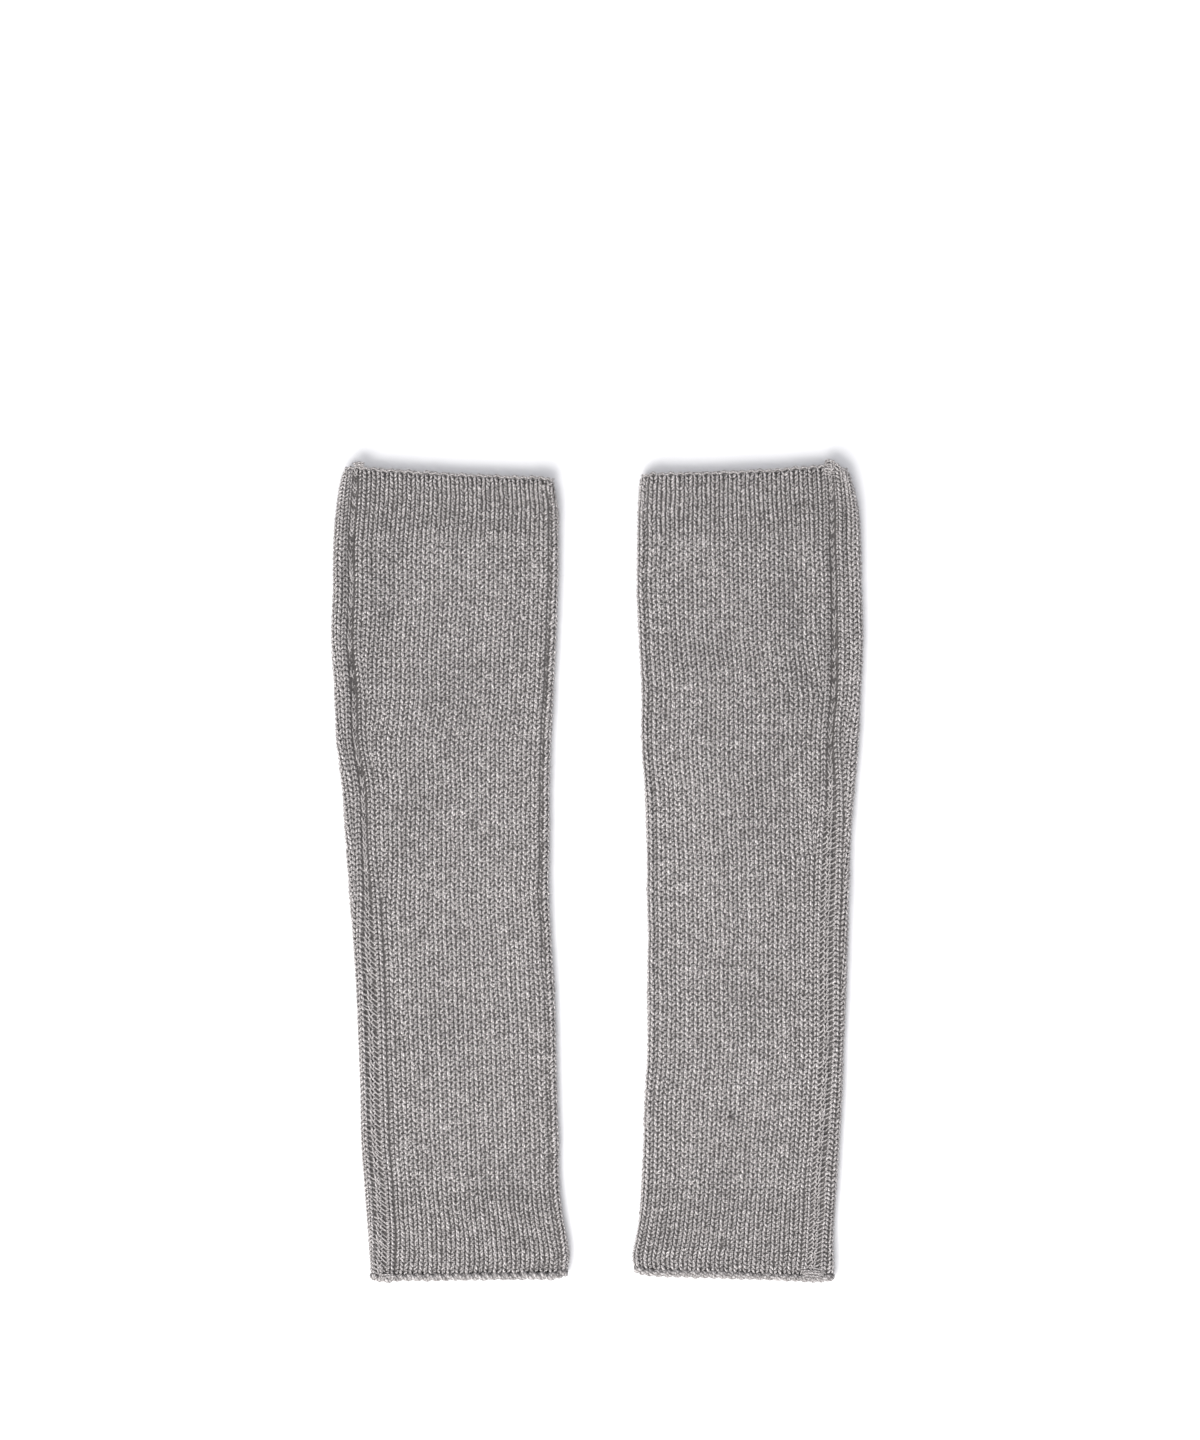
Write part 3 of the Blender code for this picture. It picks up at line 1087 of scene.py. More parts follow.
@dataclass(frozen=True)
class EdgeCord:
    """The bound-off edge at one end: strands that wind round each other, one crossing a wale.

    offset is how far each strand lies from the cord's middle, wave how far the cord swings along
    the leg at each wale, and lit how much painted light it gets.
    """

    name: str
    level: float
    strands: int
    yarn: float
    offset: float
    lift: float
    lit: float
    wave: float = 0.0
    sides: int = 6
    flat: float = 0.9
    pinch: float = 0.12
    puff: float = 0.5
    steps_a_wale: int = 7
    stray: float = 0.12

    def build(self, knitting: Knitting, material: bpy.types.Material) -> bpy.types.Object:
        """Wind the cord all the way round the tube's end.

        Args:
            knitting: the courses whose end it binds.
            material: the yarn's material.

        Returns:
            The piece.
        """
        parts = MeshParts()
        edges = knitting.wale_edges(self.level)
        knots = np.arange(len(edges))
        wale = np.arange(knots[-1] * self.steps_a_wale + 1) / self.steps_a_wale
        arc = np.interp(wale, knots, edges)
        draw = np.random.default_rng(knitting.seed + len(self.name))
        along, out, swell = (
            np.interp(wale, knots, draw.normal(0.0, self.stray, len(edges))) for _ in range(3)
        )
        for number in range(self.strands):
            turn = math.pi * wale + 2 * math.pi * number / self.strands
            level = self.level + self.offset * np.cos(turn) + along
            level = level + self.wave * np.cos(2 * math.pi * wale)
            lift = self.lift + self.offset * np.sin(turn) + out
            points, normals = knitting.tube.place(level, arc, lift)
            thick = self.yarn * (1.0 + self.puff * swell) * (1.0 + self.pinch * np.cos(2 * turn))
            strand = Strand(points, normals, thick, thick * self.flat, lift, number)
            spin(parts, strand, self.sides, self.lit)
        return finished(parts, knitting.tube.named(self.name), material)


@dataclass(frozen=True)
class YarnKnot:
    """A few loose turns of yarn: a tail worked in at one end of the seam, or a fleck.

    across and along are half the size of the knot, and shift how far it lies from the seam, above
    zero on the front. Its turns rise and sink by swing, its ends go down by tuck, and it climbs
    along the leg with a sway. The loose values are how far all that strays.
    """

    name: str
    level: float
    shift: float
    across: float
    along: float
    turns: float
    yarn: float = 0.46
    top: float = 0.1
    swing: float = 0.45
    sway: float = 0.35
    tuck: float = 1.6
    loose_across: float = 0.2
    loose_along: float = 0.25
    loose_top: float = 0.3
    # how much painted light the knot's top gets
    lit: float = 0.75
    band: int = 5
    sides: int = 6
    steps_a_turn: int = 12
    steps_a_knot: int = 4
    fewest_knots: int = 5

    def build(self, knitting: Knitting, material: bpy.types.Material) -> bpy.types.Object:
        """Lay the turns.

        Args:
            knitting: the courses on which it lies.
            material: the yarn's material.

        Returns:
            The piece.
        """
        draw = np.random.default_rng(knitting.seed + KNOT_SEED + len(self.name))
        count = int(self.turns * self.steps_a_turn)
        t = np.linspace(0.0, 1.0, count)
        knots = np.linspace(0.0, 1.0, max(self.fewest_knots, count // self.steps_a_knot))
        stray = [np.interp(t, knots, draw.normal(0.0, 1.0, len(knots))) for _ in range(3)]
        turn = 2 * math.pi * self.turns * t
        tube = knitting.tube
        middle = float(tube.section(self.level).front_arc[0]) - self.shift
        spread = 1.0 - self.loose_across + self.loose_across * stray[0]
        arc = middle + self.across * np.cos(turn) * spread
        climb = (2 * t - 1) + self.sway * np.sin(turn) + self.loose_along * stray[1]
        level = self.level + self.along * climb
        lift = self.top + self.swing * np.sin(turn) + self.loose_top * stray[2]
        lift = lift - self.tuck * (2 * t - 1) ** 4 - self.yarn
        points, normals = tube.place(level, arc, lift)
        thick = np.full(count, self.yarn)
        parts = MeshParts()
        spin(parts, Strand(points, normals, thick, thick, lift, self.band), self.sides, self.lit)
        return finished(parts, tube.named(self.name), material)


# Sides of a loose fibre, and what keeps its sides apart where it stands straight out
SPIKE_SIDES = 3
OFF_AXIS = 0.001


@dataclass
class Nap:
    """Loose fibres that stand off the wool, thickest where the cloth turns out of sight.

    Each fibre is a spike of three sides that bends once. calf_margin and ankle_margin are how far
    past the end courses fibres grow, spread how far they lie from the middle of a fold, and depth
    how far their roots go in. The leans, sideways, bend and droop turn a fibre on its way.
    """

    knitting: Knitting
    at_folds: int = 2600
    at_ends: int = 1100
    on_face: int = 1500
    calf_margin: float = 1.6
    ankle_margin: float = 2.2
    calf_overhang: float = 0.4
    ankle_overhang: float = 1.0
    spread: float = 0.45
    fold_lean: float = 0.5
    end_lean: tuple[float, float] = (0.8, 2.6)
    face_lean: float = 2.0
    root_radius: float = 0.038
    middle_radius: float = 0.8
    depth: float = 0.35
    sideways: float = 1.1
    bend: float = 0.55
    droop: float = 0.35
    length_shape: float = 3.0
    length_scale: float = 0.36
    shortest: float = 0.4
    floor_clearance: float = 0.1

    def roots(self, draw: np.random.Generator) -> tuple[Array, Array, Array]:
        """Choose where the fibres grow.

        Args:
            draw: the random numbers.

        Returns:
            Their levels, their places round the cloth, and which way along the leg each leans.
        """
        knitting, tube = self.knitting, self.knitting.tube
        top = knitting.first_course + self.calf_margin
        bottom = knitting.last_course - self.ankle_margin
        y = draw.uniform(bottom, top, self.at_folds)
        m = tube.section(y)
        inner = draw.normal(0.0, self.spread, self.at_folds) * m.quarter
        outer_fold = -2 * m.quarter - (m.width - 2 * FOLD_RADIUS)
        outer = outer_fold + draw.normal(0.0, self.spread, self.at_folds) * m.quarter
        folds = np.where(draw.random(self.at_folds) < 0.5, inner, outer)
        lean = draw.normal(0.0, self.fold_lean, self.at_folds)
        calf = draw.random(self.at_ends) < 0.5
        end_y = np.where(calf, top + self.calf_overhang, bottom - self.ankle_overhang)
        end_arc = draw.uniform(0.0, 1.0, self.at_ends) * tube.section(end_y).front_arc
        end_lean = np.where(calf, 1.0, -1.0) * draw.uniform(*self.end_lean, self.at_ends)
        face_y = draw.uniform(bottom, top, self.on_face)
        face_arc = draw.uniform(0.0, 1.0, self.on_face) * tube.section(face_y).front_arc
        face_lean = draw.normal(0.0, self.face_lean, self.on_face)
        return (
            np.concatenate([y, end_y, face_y]),
            np.concatenate([folds, end_arc, face_arc]),
            np.concatenate([lean, end_lean, face_lean]),
        )

    def build(self, material: bpy.types.Material) -> bpy.types.Object:
        """Grow the fibres, each a thin bent spike.

        Args:
            material: their material.

        Returns:
            The piece.
        """
        draw = np.random.default_rng(self.knitting.seed + NAP_SEED)
        y, arc, lean = self.roots(draw)
        count = len(y)
        root, out = self.knitting.tube.place(y, arc, -self.depth)
        along = np.tile([0.0, 1.0, 0.0], (count, 1))
        across = unit(np.cross(along, out))
        sideways = draw.normal(0.0, self.sideways, (count, 1))
        first = unit(out + lean[:, None] * along + sideways * across)
        bend = draw.normal(0.0, self.bend, (count, 3))
        second = unit(first + bend - self.droop * out)
        length = draw.gamma(self.length_shape, self.length_scale, (count, 1)) + self.shortest
        middle = root + first * length * 0.5
        tip = middle + second * length * 0.5
        for points in (middle, tip):
            points[:, 2] = np.maximum(points[:, 2], self.floor_clearance)
        side = unit(np.cross(first, out) + OFF_AXIS)
        other = unit(np.cross(first, side))
        rings = []
        middle_radius = self.root_radius * self.middle_radius
        for centre, radius in ((root, self.root_radius), (middle, middle_radius)):
            for corner in range(SPIKE_SIDES):
                angle = corner * 2 * math.pi / SPIKE_SIDES
                rings.append(centre + radius * (math.cos(angle) * side + math.sin(angle) * other))
        vertices = np.stack([*rings, tip], axis=1).reshape(-1, 3)
        first_vertex = np.arange(count)[:, None, None] * (len(rings) + 1)
        pairs = [(k, (k + 1) % SPIKE_SIDES) for k in range(SPIKE_SIDES)]
        flanks = np.array([[k, n, n + SPIKE_SIDES, k + SPIKE_SIDES] for k, n in pairs])
        tips = np.array([[k + SPIKE_SIDES, n + SPIKE_SIDES, len(rings)] for k, n in pairs])
        parts = MeshParts()
        places = draw.random((count, 1, 2))
        quads = (first_vertex + flanks).reshape(-1, flanks.shape[1])
        parts.add(vertices, quads, np.repeat(places, flanks.size, axis=1))
        spikes = (first_vertex + tips).reshape(-1, tips.shape[1])
        parts.more_faces(spikes, np.repeat(places, tips.size, axis=1), len(vertices))
        return finished(parts, self.knitting.tube.named("loose_fibres"), material)


@dataclass
class Lining:
    """The thin shell of matted wool behind the loops, which is the cloth itself as a sheet.

    outer_painted_light is the share of painted light that its outer face keeps down between the loops,
    the rest being painted shade, against the full light of its inner face on the inside of the leg.
    margin is how far its ends stay inside the tube's first and last levels.
    """

    tube: FlatTube
    joining: Joining
    outer_lift: float = -1.15
    inner_lift: float = -1.95
    outer_painted_light: float = 0.28
    margin: float = 2.6
    rows: int = 84
    places: int = 72

    def build(self, material: bpy.types.Material) -> bpy.types.Object:
        """Loft the shell from edge to edge, with its rims closed.

        Args:
            material: the wool's material.

        Returns:
            The piece.
        """
        last, first = self.tube.levels[0].y, self.tube.levels[-1].y
        levels = np.linspace(first - self.margin, last + self.margin, self.rows)
        rings, painted_light_shares = [], []
        for lift in (self.outer_lift, self.inner_lift):
            for y in levels:
                m = self.tube.section(y)
                arcs = np.linspace(float(m.front_arc[0]), -float(m.back_arc[0]), self.places + 1)[:-1]
                rings.append(self.tube.place(np.full(self.places, y), arcs, lift)[0])
                # Painted shade on the outer face, deeper at the seam by the joint; the inner face
                # keeps full light
                at_seam = np.where(arcs == arcs[0], self.joining.at(y).shell, 1.0)
                outer = lift == self.outer_lift
                painted_light_shares.append(self.outer_painted_light * at_seam if outer else np.ones(self.places))
        vertices = np.concatenate(rings)
        i = np.arange(self.rows - 1)[:, None] * self.places
        k = np.arange(self.places)[None, :]
        after = (k + 1) % self.places
        below = i + self.places
        sheet = np.stack([i + k, i + after, below + after, below + k], axis=2).reshape(-1, 4)
        step = self.rows * self.places
        inside = sheet[:, ::-1] + step
        around = np.arange(self.places)
        following = (around + 1) % self.places
        calf_rim = np.stack([around, around + step, following + step, following], axis=1)
        ankle_rim = calf_rim[:, ::-1] + step - self.places
        faces = [sheet, inside, calf_rim, ankle_rim]
        if self.tube.side is Side.LEFT:
            faces = [turned[:, ::-1] for turned in faces]
        faces = np.concatenate(faces)
        row_of, place_of = faces // self.places, faces % self.places
        wrap = (place_of == 0) & (place_of.max(axis=1, keepdims=True) > 1)
        u = np.where(wrap, self.places, place_of) / self.places
        corners = np.stack([u, row_of / (2 * self.rows)], axis=2)
        parts = MeshParts()
        parts.add(vertices, faces, corners, np.concatenate(painted_light_shares))
        return finished(parts, self.tube.named("matted_wool_shell"), material)


NOISE_ROUGHNESS = 0.6


class NodeGraph:
    """A thin helper that adds and joins shader nodes in one tree."""

    def __init__(self, tree: bpy.types.NodeTree) -> None:
        """Keep the tree.

        Args:
            tree: the node tree to build in.
        """
        self.tree = tree

    def add(self, kind: str, **settings: object) -> bpy.types.Node:
        """Add a node.

        Args:
            kind: its type name without the ShaderNode prefix.
            settings: properties to set on it.

        Returns:
            The node.
        """
        node = self.tree.nodes.new("ShaderNode" + kind)
        for key, value in settings.items():
            setattr(node, key, value)
        return node

    def join(self, source: bpy.types.NodeSocket, target: bpy.types.NodeSocket) -> None:
        """Join two sockets."""
        self.tree.links.new(source, target)

    def feed(self, value: object, socket: bpy.types.NodeSocket) -> None:
        """Join a socket to another, or set its own value.

        Args:
            value: a socket, or a plain value.
            socket: the socket that takes it.
        """
        if isinstance(value, bpy.types.NodeSocket):
            self.join(value, socket)
        else:
            socket.default_value = value

    def math(self, operation: str, *values: object) -> bpy.types.NodeSocket:
        """Add a math node.

        Args:
            operation: its operation.
            values: sockets or numbers for its inputs.

        Returns:
            The result's socket.
        """
        node = self.add("Math", operation=operation)
        for value, socket in zip(values, node.inputs):
            self.feed(value, socket)
        return node.outputs[0]

    def vector(self, x: object, y: object, z: object) -> bpy.types.NodeSocket:
        """Combine three values into a vector.

        Args:
            x: the first value or socket.
            y: the second.
            z: the third.

        Returns:
            The vector's socket.
        """
        node = self.add("CombineXYZ")
        for value, socket in zip((x, y, z), node.inputs):
            self.feed(value, socket)
        return node.outputs[0]

    def noise(
        self, vector: bpy.types.NodeSocket, scale: float, detail: float
    ) -> bpy.types.NodeSocket:
        """Add a noise texture.

        Args:
            vector: its coordinates.
            scale: its scale.
            detail: its detail.

        Returns:
            The socket of its value.
        """
        node = self.add("TexNoise")
        node.inputs["Scale"].default_value = scale
        node.inputs["Detail"].default_value = detail
        node.inputs["Roughness"].default_value = NOISE_ROUGHNESS
        self.join(vector, node.inputs["Vector"])
        return node.outputs["Fac"]

    def ranged(self, value: bpy.types.NodeSocket, low: float, high: float) -> bpy.types.NodeSocket:
        """Stretch the part of a value between two limits to the whole from 0 to 1.

        Args:
            value: the value's socket.
            low: what becomes 0.
            high: what becomes 1.

        Returns:
            The socket of the result.
        """
        node = self.add("MapRange", interpolation_type="SMOOTHSTEP")
        self.join(value, node.inputs["Value"])
        node.inputs["From Min"].default_value = low
        node.inputs["From Max"].default_value = high
        return node.outputs["Result"]

    def mix(self, share: object, first: object, second: object) -> bpy.types.NodeSocket:
        """Mix two colours.

        Args:
            share: how much of the second.
            first: the first colour or socket.
            second: the second colour or socket.

        Returns:
            The mixed colour's socket.
        """
        node = self.add("Mix", data_type="RGBA")
        sockets = [s for s in node.inputs if s.type == "RGBA"]
        self.feed(share, node.inputs["Factor"])
        self.feed(first, sockets[0])
        self.feed(second, sockets[1])
        return next(s for s in node.outputs if s.type == "RGBA")

    def scaled(self, colour: bpy.types.NodeSocket, factor: object) -> bpy.types.NodeSocket:
        """Multiply a colour by a value.

        Args:
            colour: the colour's socket.
            factor: the value's socket.

        Returns:
            The socket of the result.
        """
        node = self.add("VectorMath", operation="SCALE")
        self.join(colour, node.inputs[0])
        self.join(factor, node.inputs["Scale"])
        return node.outputs[0]


class Effect:
    """A shader node group that more than one material uses."""

    name = ""
    inputs: tuple[tuple[str, str, object], ...] = ()
    outputs: tuple[tuple[str, str], ...] = ()

    def __init__(self) -> None:
        """Make the group's tree, its sockets and its nodes."""
        self.tree = bpy.data.node_groups.new(self.name, "ShaderNodeTree")
        for name, kind, value in self.inputs:
            socket = self.add_socket(name, "INPUT", kind)
            if value is not None:
                socket.default_value = value
        for name, kind in self.outputs:
            self.add_socket(name, "OUTPUT", kind)
        self.graph = NodeGraph(self.tree)
        self.given = self.tree.nodes.new("NodeGroupInput")
        self.result = self.tree.nodes.new("NodeGroupOutput")
        self.build()

    def add_socket(self, name: str, way: str, kind: str) -> bpy.types.NodeTreeInterfaceSocket:
        """Add a socket to the group's face."""
        return self.tree.interface.new_socket(
            name=name, in_out=way, socket_type="NodeSocket" + kind
        )

    def build(self) -> None:
        """Add the group's own nodes."""

    def into(self, graph: NodeGraph, **values: object) -> bpy.types.Node:
        """Place the group in a material.

        Args:
            graph: the material's graph.
            values: values or sockets for its inputs, by name with underscores for spaces.

        Returns:
            The group's node.
        """
        node = graph.add("Group", node_tree=self.tree)
        for name, value in values.items():
            graph.feed(value, node.inputs[name.replace("_", " ")])
        return node


class YarnPlace(Effect):
    """Where a point lies on its yarn: how far along, how far round, and in which course."""

    name = "Yarn Place"
    inputs = (("Place", "Vector", None),)
    outputs = (("Along", "Float"), ("Around", "Float"), ("Course", "Float"))

    def build(self) -> None:
        """Read the yarn's map."""
        g = self.graph
        split = g.add("SeparateXYZ")
        g.join(self.given.outputs["Place"], split.inputs[0])
        g.join(g.math("MULTIPLY", split.outputs["X"], MAP_LENGTH), self.result.inputs["Along"])
        bands = g.math("MULTIPLY", split.outputs["Y"], float(MAP_COURSES))
        g.join(g.math("FRACT", bands), self.result.inputs["Around"])
        g.join(g.math("FLOOR", bands), self.result.inputs["Course"])


class HeatherMelange(Effect):
    """Light and dark fibres spun together, in fine hairs and in longer streaks of yarn."""

    name = "Heather Melange"
    inputs = (
        ("Along", "Float", 0.0),
        ("Around", "Float", 0.0),
        ("Course", "Float", 0.0),
        ("Dark", "Color", (0.1, 0.1, 0.1, 1.0)),
        ("Mid", "Color", (0.3, 0.3, 0.3, 1.0)),
        ("Light", "Color", (0.5, 0.5, 0.5, 1.0)),
        ("Evenness", "Float", 0.3),
        ("Fineness", "Float", 1.1),
    )
    outputs = (("Colour", "Color"), ("Fibre", "Float"))
    course_step = 5.3
    hair_turns = 6.0
    streak_pitch = 0.10
    streak_turns = 0.8
    fleck_pitch = 0.33
    hair_share = 0.90
    streak_share = 0.10
    body_range = (0.41, 0.59)
    fleck_range = (0.60, 0.72)
    fleck_strength = 0.2

    def build(self) -> None:
        """Mix three colours of fibre along the yarn."""
        g, given = self.graph, self.given.outputs
        along, around = given["Along"], given["Around"]
        course = g.math("MULTIPLY", given["Course"], self.course_step)
        fine_along = g.math("MULTIPLY", along, given["Fineness"])
        round_it = g.math("MULTIPLY", around, self.hair_turns)
        hairs = g.noise(g.vector(fine_along, round_it, course), 1.0, 3.0)
        long_along = g.math("MULTIPLY", along, self.streak_pitch)
        long_round = g.math("MULTIPLY", around, self.streak_turns)
        streaks = g.noise(g.vector(long_along, long_round, course), 1.0, 2.0)
        fleck_along = g.math("MULTIPLY", along, self.fleck_pitch)
        flecks = g.noise(g.vector(fleck_along, round_it, course), 1.0, 1.0)
        fine_part = g.math("MULTIPLY", hairs, self.hair_share)
        body = g.math("ADD", fine_part, g.math("MULTIPLY", streaks, self.streak_share))
        ground = g.mix(g.ranged(body, *self.body_range), given["Dark"], given["Light"])
        softened = g.mix(given["Evenness"], ground, given["Mid"])
        fleck_share = g.math("MULTIPLY", g.ranged(flecks, *self.fleck_range), self.fleck_strength)
        g.join(g.mix(fleck_share, softened, given["Light"]), self.result.inputs["Colour"])
        g.join(hairs, self.result.inputs["Fibre"])


class PliedTwist(Effect):
    """Plies that wind round the yarn, with a crease between each two."""

    name = "Plied Twist"
    inputs = (
        ("Along", "Float", 0.0),
        ("Around", "Float", 0.0),
        ("Lay", "Float", 5.4),
        ("Plies", "Float", 3.0),
    )
    outputs = (("Height", "Float"), ("Crease", "Float"))
    roundness = 0.6
    crease_range = (0.62, 1.0)

    def build(self) -> None:
        """Wind the creases round the yarn."""
        g, given = self.graph, self.given.outputs
        turn = g.math("ADD", g.math("DIVIDE", given["Along"], given["Lay"]), given["Around"])
        phase = g.math("MULTIPLY", g.math("MULTIPLY", turn, given["Plies"]), 2 * math.pi)
        wave = g.math("MULTIPLY_ADD", g.math("COSINE", phase), 0.5, 0.5)
        g.join(g.math("POWER", wave, self.roundness), self.result.inputs["Height"])
        crease = g.ranged(g.math("SUBTRACT", 1.0, wave), *self.crease_range)
        g.join(crease, self.result.inputs["Crease"])


class HollowShade(Effect):
    """Painted shade: darker wool colour down between the stitches, where little light gets in."""

    name = "Hollow Shade"
    inputs = (("Colour", "Color", (0.3, 0.3, 0.3, 1.0)), ("Depth", "Float", 0.5))
    outputs = (("Colour", "Color"),)

    def build(self) -> None:
        """Paint shade: scale the colour down where the yarn lies deep."""
        g, given = self.graph, self.given.outputs
        relief = g.add("Attribute", attribute_name="PaintedLight").outputs["Fac"]
        hollow = g.math("SUBTRACT", 1.0, relief)
        factor = g.math("SUBTRACT", 1.0, g.math("MULTIPLY", hollow, given["Depth"]))
        g.join(g.scaled(given["Colour"], factor), self.result.inputs["Colour"])


class SoftMottling(Effect):
    """Slow changes of tone over the cloth, a little lighter towards the calf."""

    name = "Soft Mottling"
    inputs = (("Colour", "Color", (0.3, 0.3, 0.3, 1.0)), ("Strength", "Float", 0.07))
    outputs = (("Colour", "Color"),)
    patch_scale = 55.0
    slope_a_metre = 0.06

    def build(self) -> None:
        """Multiply the colour by a slow noise and a slope along the leg."""
        g, given = self.graph, self.given.outputs
        place = g.add("TexCoord").outputs["Object"]
        split = g.add("SeparateXYZ")
        g.join(place, split.inputs[0])
        patches = g.math("SUBTRACT", g.noise(place, self.patch_scale, 3.0), 0.5)
        slope = g.math("MULTIPLY", split.outputs["Y"], self.slope_a_metre)
        change = g.math("MULTIPLY", patches, given["Strength"])
        factor = g.math("ADD", g.math("ADD", change, slope), 1.0)
        g.join(g.scaled(given["Colour"], factor), self.result.inputs["Colour"])


@dataclass(frozen=True)
class WoolFinish:
    """A finish of heather wool: its three fibre colours, its twist and its nap.

    hollow is how much painted shade darkens it in hollows, crease how much painted shade darkens the
    creases between its plies, and relief how strong its bump is, to which fibre_relief is the share of
    single fibres.
    """

    name: str
    dark: Colour
    mid: Colour
    light: Colour
    evenness: float = 0.3
    fineness: float = 1.1
    hollow: float = 0.74
    crease: float = 0.35
    relief: float = 0.25
    bump_distance: float = 0.25
    fibre_relief: float = 0.8
    sheen: float = 0.18
    sheen_roughness: float = 0.5
    specular: float = 0.2
    roughness: float = 0.92

    def build(self, effects: dict[type[Effect], Effect]) -> bpy.types.Material:
        """Make the material.

        Args:
            effects: the shared node groups.

        Returns:
            The material.
        """
        material = bpy.data.materials.new(self.name)
        material.use_nodes = True
        shader = material.node_tree.nodes["Principled BSDF"]
        g = NodeGraph(material.node_tree)
        way = g.add("UVMap", uv_map="YarnWay").outputs[0]
        place = effects[YarnPlace].into(g, Place=way).outputs
        fibres = effects[HeatherMelange].into(
            g,
            Along=place["Along"],
            Around=place["Around"],
            Course=place["Course"],
            Dark=(*self.dark, 1.0),
            Mid=(*self.mid, 1.0),
            Light=(*self.light, 1.0),
            Evenness=self.evenness,
            Fineness=self.fineness,
        ).outputs
        twist = effects[PliedTwist].into(g, Along=place["Along"], Around=place["Around"]).outputs
        # Painted shade in the creases between the plies
        crease = g.math("MULTIPLY", twist["Crease"], self.crease)
        creased = g.mix(crease, fibres["Colour"], (*self.dark, 1.0))
        shaded = effects[HollowShade].into(g, Colour=creased, Depth=self.hollow).outputs["Colour"]
        toned = effects[SoftMottling].into(g, Colour=shaded).outputs["Colour"]
        g.join(toned, shader.inputs["Base Color"])
        bump = g.add("Bump")
        bump.inputs["Strength"].default_value = self.relief
        bump.inputs["Distance"].default_value = self.bump_distance * MM
        fuzz = g.math("MULTIPLY", fibres["Fibre"], self.fibre_relief)
        height = g.math("ADD", twist["Height"], fuzz)
        g.join(height, bump.inputs["Height"])
        g.join(bump.outputs["Normal"], shader.inputs["Normal"])
        shader.inputs["Roughness"].default_value = self.roughness
        shader.inputs["Sheen Weight"].default_value = self.sheen
        shader.inputs["Sheen Roughness"].default_value = self.sheen_roughness
        shader.inputs["Specular IOR Level"].default_value = self.specular
        return material


KNIT_FINISH = WoolFinish(
    "heather_wool_yarn",
    dark=(0.14, 0.127, 0.122),
    mid=(0.52, 0.492, 0.482),
    light=(0.89, 0.850, 0.837),
    evenness=0.15,
    fineness=2.4,
    hollow=0.64,
    crease=0.70,
    relief=0.8,
)
# Its hollow near 1 turns the shell's outer face almost all to painted shade
SHELL_FINISH = WoolFinish(
    "matted_wool",
    dark=(0.15, 0.138, 0.133),
    mid=(0.30, 0.28, 0.271),
    light=(0.515, 0.481, 0.468),
    hollow=0.98,
)
FIBRE_FINISH = WoolFinish(
    "loose_wool_fibres",
    dark=(0.32, 0.302, 0.295),
    mid=(0.46, 0.44, 0.43),
    light=(0.64, 0.615, 0.605),
    relief=0.0,
    crease=0.0,
)
FLECK_FINISH = WoolFinish(
    "dark_fleck_wool",
    dark=(0.11, 0.100, 0.097),
    mid=(0.16, 0.147, 0.143),
    light=(0.24, 0.222, 0.217),
    relief=0.4,
)


EDGE_CORDS = (
    EdgeCord("ankle_edge_cord", -200.3, strands=2, yarn=1.30, offset=0.75, lift=-1.3, lit=0.54),
    EdgeCord("calf_edge_yarn", 199.2, 1, yarn=0.58, offset=0.15, lift=-1.2, lit=0.75, wave=0.45),
)


@dataclass
class LegWarmer:
    """One leg warmer of the pair: its shell, its stitches and its trims."""

    tube: FlatTube
    front: Wales
    back: Wales
    joining: Joining
    knots: tuple[YarnKnot, ...]
    seed: int
    flecks: tuple[YarnKnot, ...] = ()
    fold_groove: float = 0.9

    def build(self, materials: dict[str, bpy.types.Material]) -> None:
        """Make and dress all its pieces.

        Args:
            materials: the finishes, by name.
        """
        shell = Lining(self.tube, self.joining).build(materials[SHELL_FINISH.name])
        knitting = Knitting(
            self.tube, self.front, self.back, self.joining, self.seed, fold_groove=self.fold_groove
        )
        yarn = materials[KNIT_FINISH.name]
        pieces = [knitting.build(stretch, yarn) for stretch in STRETCHES]
        pieces.append(SeamChain(knitting).build(yarn))
        pieces.extend(trim.build(knitting, yarn) for trim in (*EDGE_CORDS, *self.knots))
        fleck_wool = materials[FLECK_FINISH.name]
        pieces.extend(fleck.build(knitting, fleck_wool) for fleck in self.flecks)
        pieces.append(Nap(knitting).build(materials[FIBRE_FINISH.name]))
        side = self.tube.side.value
        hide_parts(f"{side}_side_seam")
        ankle = self.tube.section(ANKLE_LEVEL)


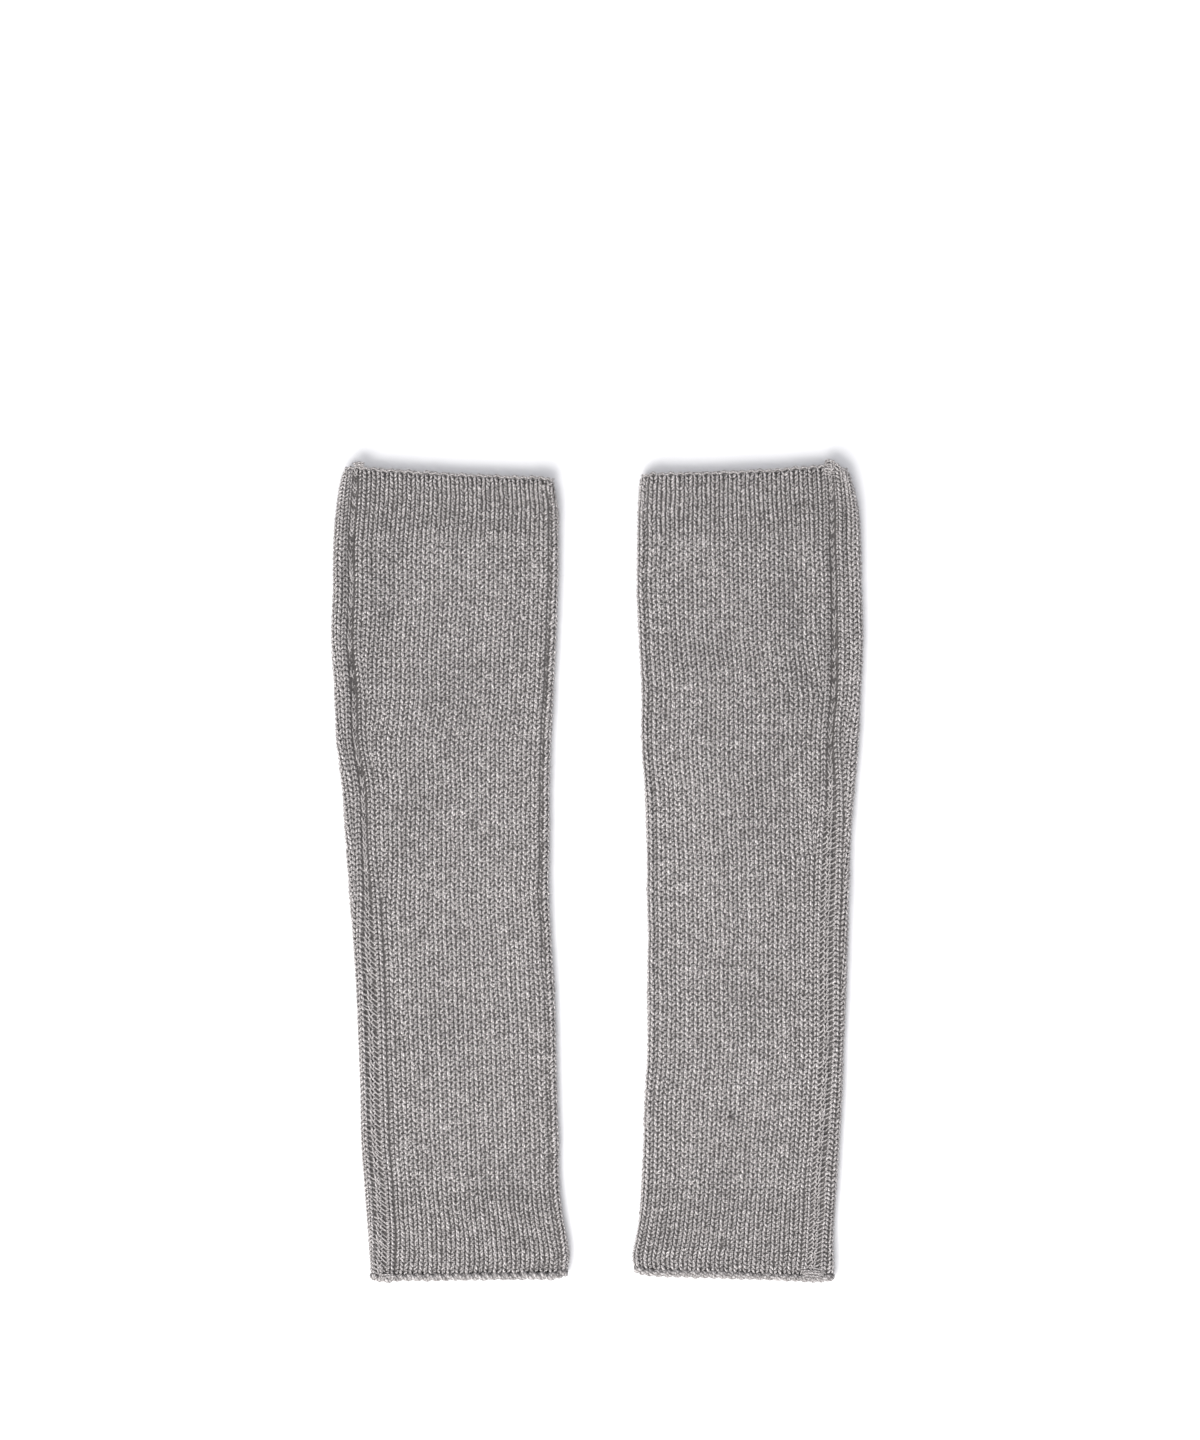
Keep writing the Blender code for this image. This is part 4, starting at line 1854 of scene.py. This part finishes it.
@dataclass
class Studio:
    """A white floor, soft light and a camera straight above."""

    centre_x: float = 0.0014
    centre_y: float = 0.0745
    cloth_top: float = 0.005
    distance: float = 2.0
    frame_height: float = 0.7128
    sensor: float = 36.0
    farthest: float = 20.0
    floor_size: float = 6.0
    floor_white: Colour = (0.90, 0.90, 0.905)

    def add_floor(self) -> None:
        """Lay the floor."""
        bpy.ops.mesh.primitive_plane_add(size=self.floor_size, location=(0.0, 0.0, 0.0))
        floor = bpy.context.object
        floor.name = "white_floor"
        material = bpy.data.materials.new("white_paper")
        material.use_nodes = True
        shader = material.node_tree.nodes["Principled BSDF"]
        shader.inputs["Base Color"].default_value = (*self.floor_white, 1.0)
        shader.inputs["Roughness"].default_value = 1.0
        shader.inputs["Specular IOR Level"].default_value = 0.0
        floor.data.materials.append(material)

    def add_light(
        self, name: str, place: Point, size: float, power: float, colour: Colour
    ) -> None:
        """Add a square soft light that faces the pair.

        Args:
            name: its name.
            place: where it stands, in metres.
            size: the length of its side.
            power: its power in watts.
            colour: its colour.
        """
        data = bpy.data.lights.new(name, "AREA")
        data.size = size
        data.energy = power
        data.color = colour
        lamp = bpy.data.objects.new(name, data)
        lamp.location = place
        bpy.context.scene.collection.objects.link(lamp)
        towards = (-lamp.location).normalized()
        lamp.rotation_mode = "QUATERNION"
        lamp.rotation_quaternion = towards.to_track_quat("-Z", "Y")

    def add_world(self, colour: Colour, strength: float) -> None:
        """Light the scene evenly from all round.

        Args:
            colour: the light's colour.
            strength: its strength.
        """
        world = bpy.data.worlds.new("studio")
        world.use_nodes = True
        sky = world.node_tree.nodes["Background"]
        sky.inputs["Color"].default_value = (*colour, 1.0)
        sky.inputs["Strength"].default_value = strength
        bpy.context.scene.world = world

    def add_camera(self) -> None:
        """Hang the camera straight above the middle of the photographed frame."""
        data = bpy.data.cameras.new("camera")
        data.sensor_width = self.sensor
        data.lens = data.sensor_width * self.distance / self.frame_height
        data.clip_end = self.farthest
        camera = bpy.data.objects.new("camera", data)
        camera.location = (self.centre_x, self.centre_y, self.cloth_top + self.distance)
        bpy.context.scene.collection.objects.link(camera)
        bpy.context.scene.camera = camera

    def build(self) -> None:
        """Set up the floor, the lights and the camera."""
        self.add_floor()
        self.add_light(
            "key_softbox",
            place=(-0.95, -1.7, 1.65),
            size=2.2,
            power=100.0,
            colour=(1.0, 0.985, 0.97),
        )
        self.add_world(colour=(0.95, 0.955, 1.0), strength=0.78)
        self.add_camera()
        bpy.context.scene.view_settings.view_transform = "Standard"


PAIR = (
    LegWarmer(
        FlatTube(
            Side.LEFT,
            LEFT_LEVELS,
            calf=EdgeLine(200.6, 195.0, outer_corner=1.2, inner_corner=1.2, sag=1.2),
            ankle=EdgeLine(-201.9, -200.4, outer_corner=0.8, inner_corner=1.2),
            troughs=LEFT_TROUGHS,
        ),
        front=Wales(23, ends=(87.0, 52.0, -13.0), selvedge=1.05),
        back=Wales(28, ends=(90.0, 50.0, 10.0, -15.0), selvedge=0.8),
        joining=Joining(-15.0, front_groove=0.8, strip_groove=0.4),
        knots=(
            YarnKnot("calf_seam_knot", 200.7, shift=1.5, across=2.6, along=1.1, turns=5.0),
            YarnKnot("ankle_seam_knot", -199.8, shift=4.0, across=4.2, along=1.6, turns=5.0),
        ),
        seed=11,
    ),
    LegWarmer(
        FlatTube(
            Side.RIGHT,
            RIGHT_LEVELS,
            calf=EdgeLine(202.0, 196.9, outer_corner=3.4, inner_corner=1.2, sag=1.5),
            ankle=EdgeLine(-202.4, -198.7, outer_corner=1.0, inner_corner=1.2),
            troughs=RIGHT_TROUGHS,
        ),
        front=Wales(22, ends=(88.0, 8.0), selvedge=0.8),
        back=Wales(29, ends=(55.0, 20.0, -10.0, -60.0), selvedge=0.9),
        joining=Joining(40.0, front_groove=0.3, strip_groove=1.5),
        knots=(
            YarnKnot("calf_seam_knot", 198.9, shift=0.0, across=2.2, along=2.4, turns=6.0),
            YarnKnot("ankle_seam_knot", -198.4, shift=-0.5, across=5.4, along=2.6, turns=7.0),
        ),
        seed=23,
        flecks=(
            YarnKnot(
                "dark_fleck", -122.5, shift=45.8, across=1.5, along=0.8, turns=4.0, yarn=0.42, top=0.6
            ),
        ),
        fold_groove=0.5,
    ),
)


def main() -> None:
    """Build the studio and the pair, in order."""
    logging.basicConfig(level=logging.INFO, format="%(message)s")
    kinds = (YarnPlace, HeatherMelange, PliedTwist, HollowShade, SoftMottling)
    effects = {kind: kind() for kind in kinds}
    finishes = (KNIT_FINISH, SHELL_FINISH, FIBRE_FINISH, FLECK_FINISH)
    materials = {finish.name: finish.build(effects) for finish in finishes}
    Studio().build()
    for warmer in PAIR:
        warmer.build(materials)


if __name__ == "__main__":
    main()
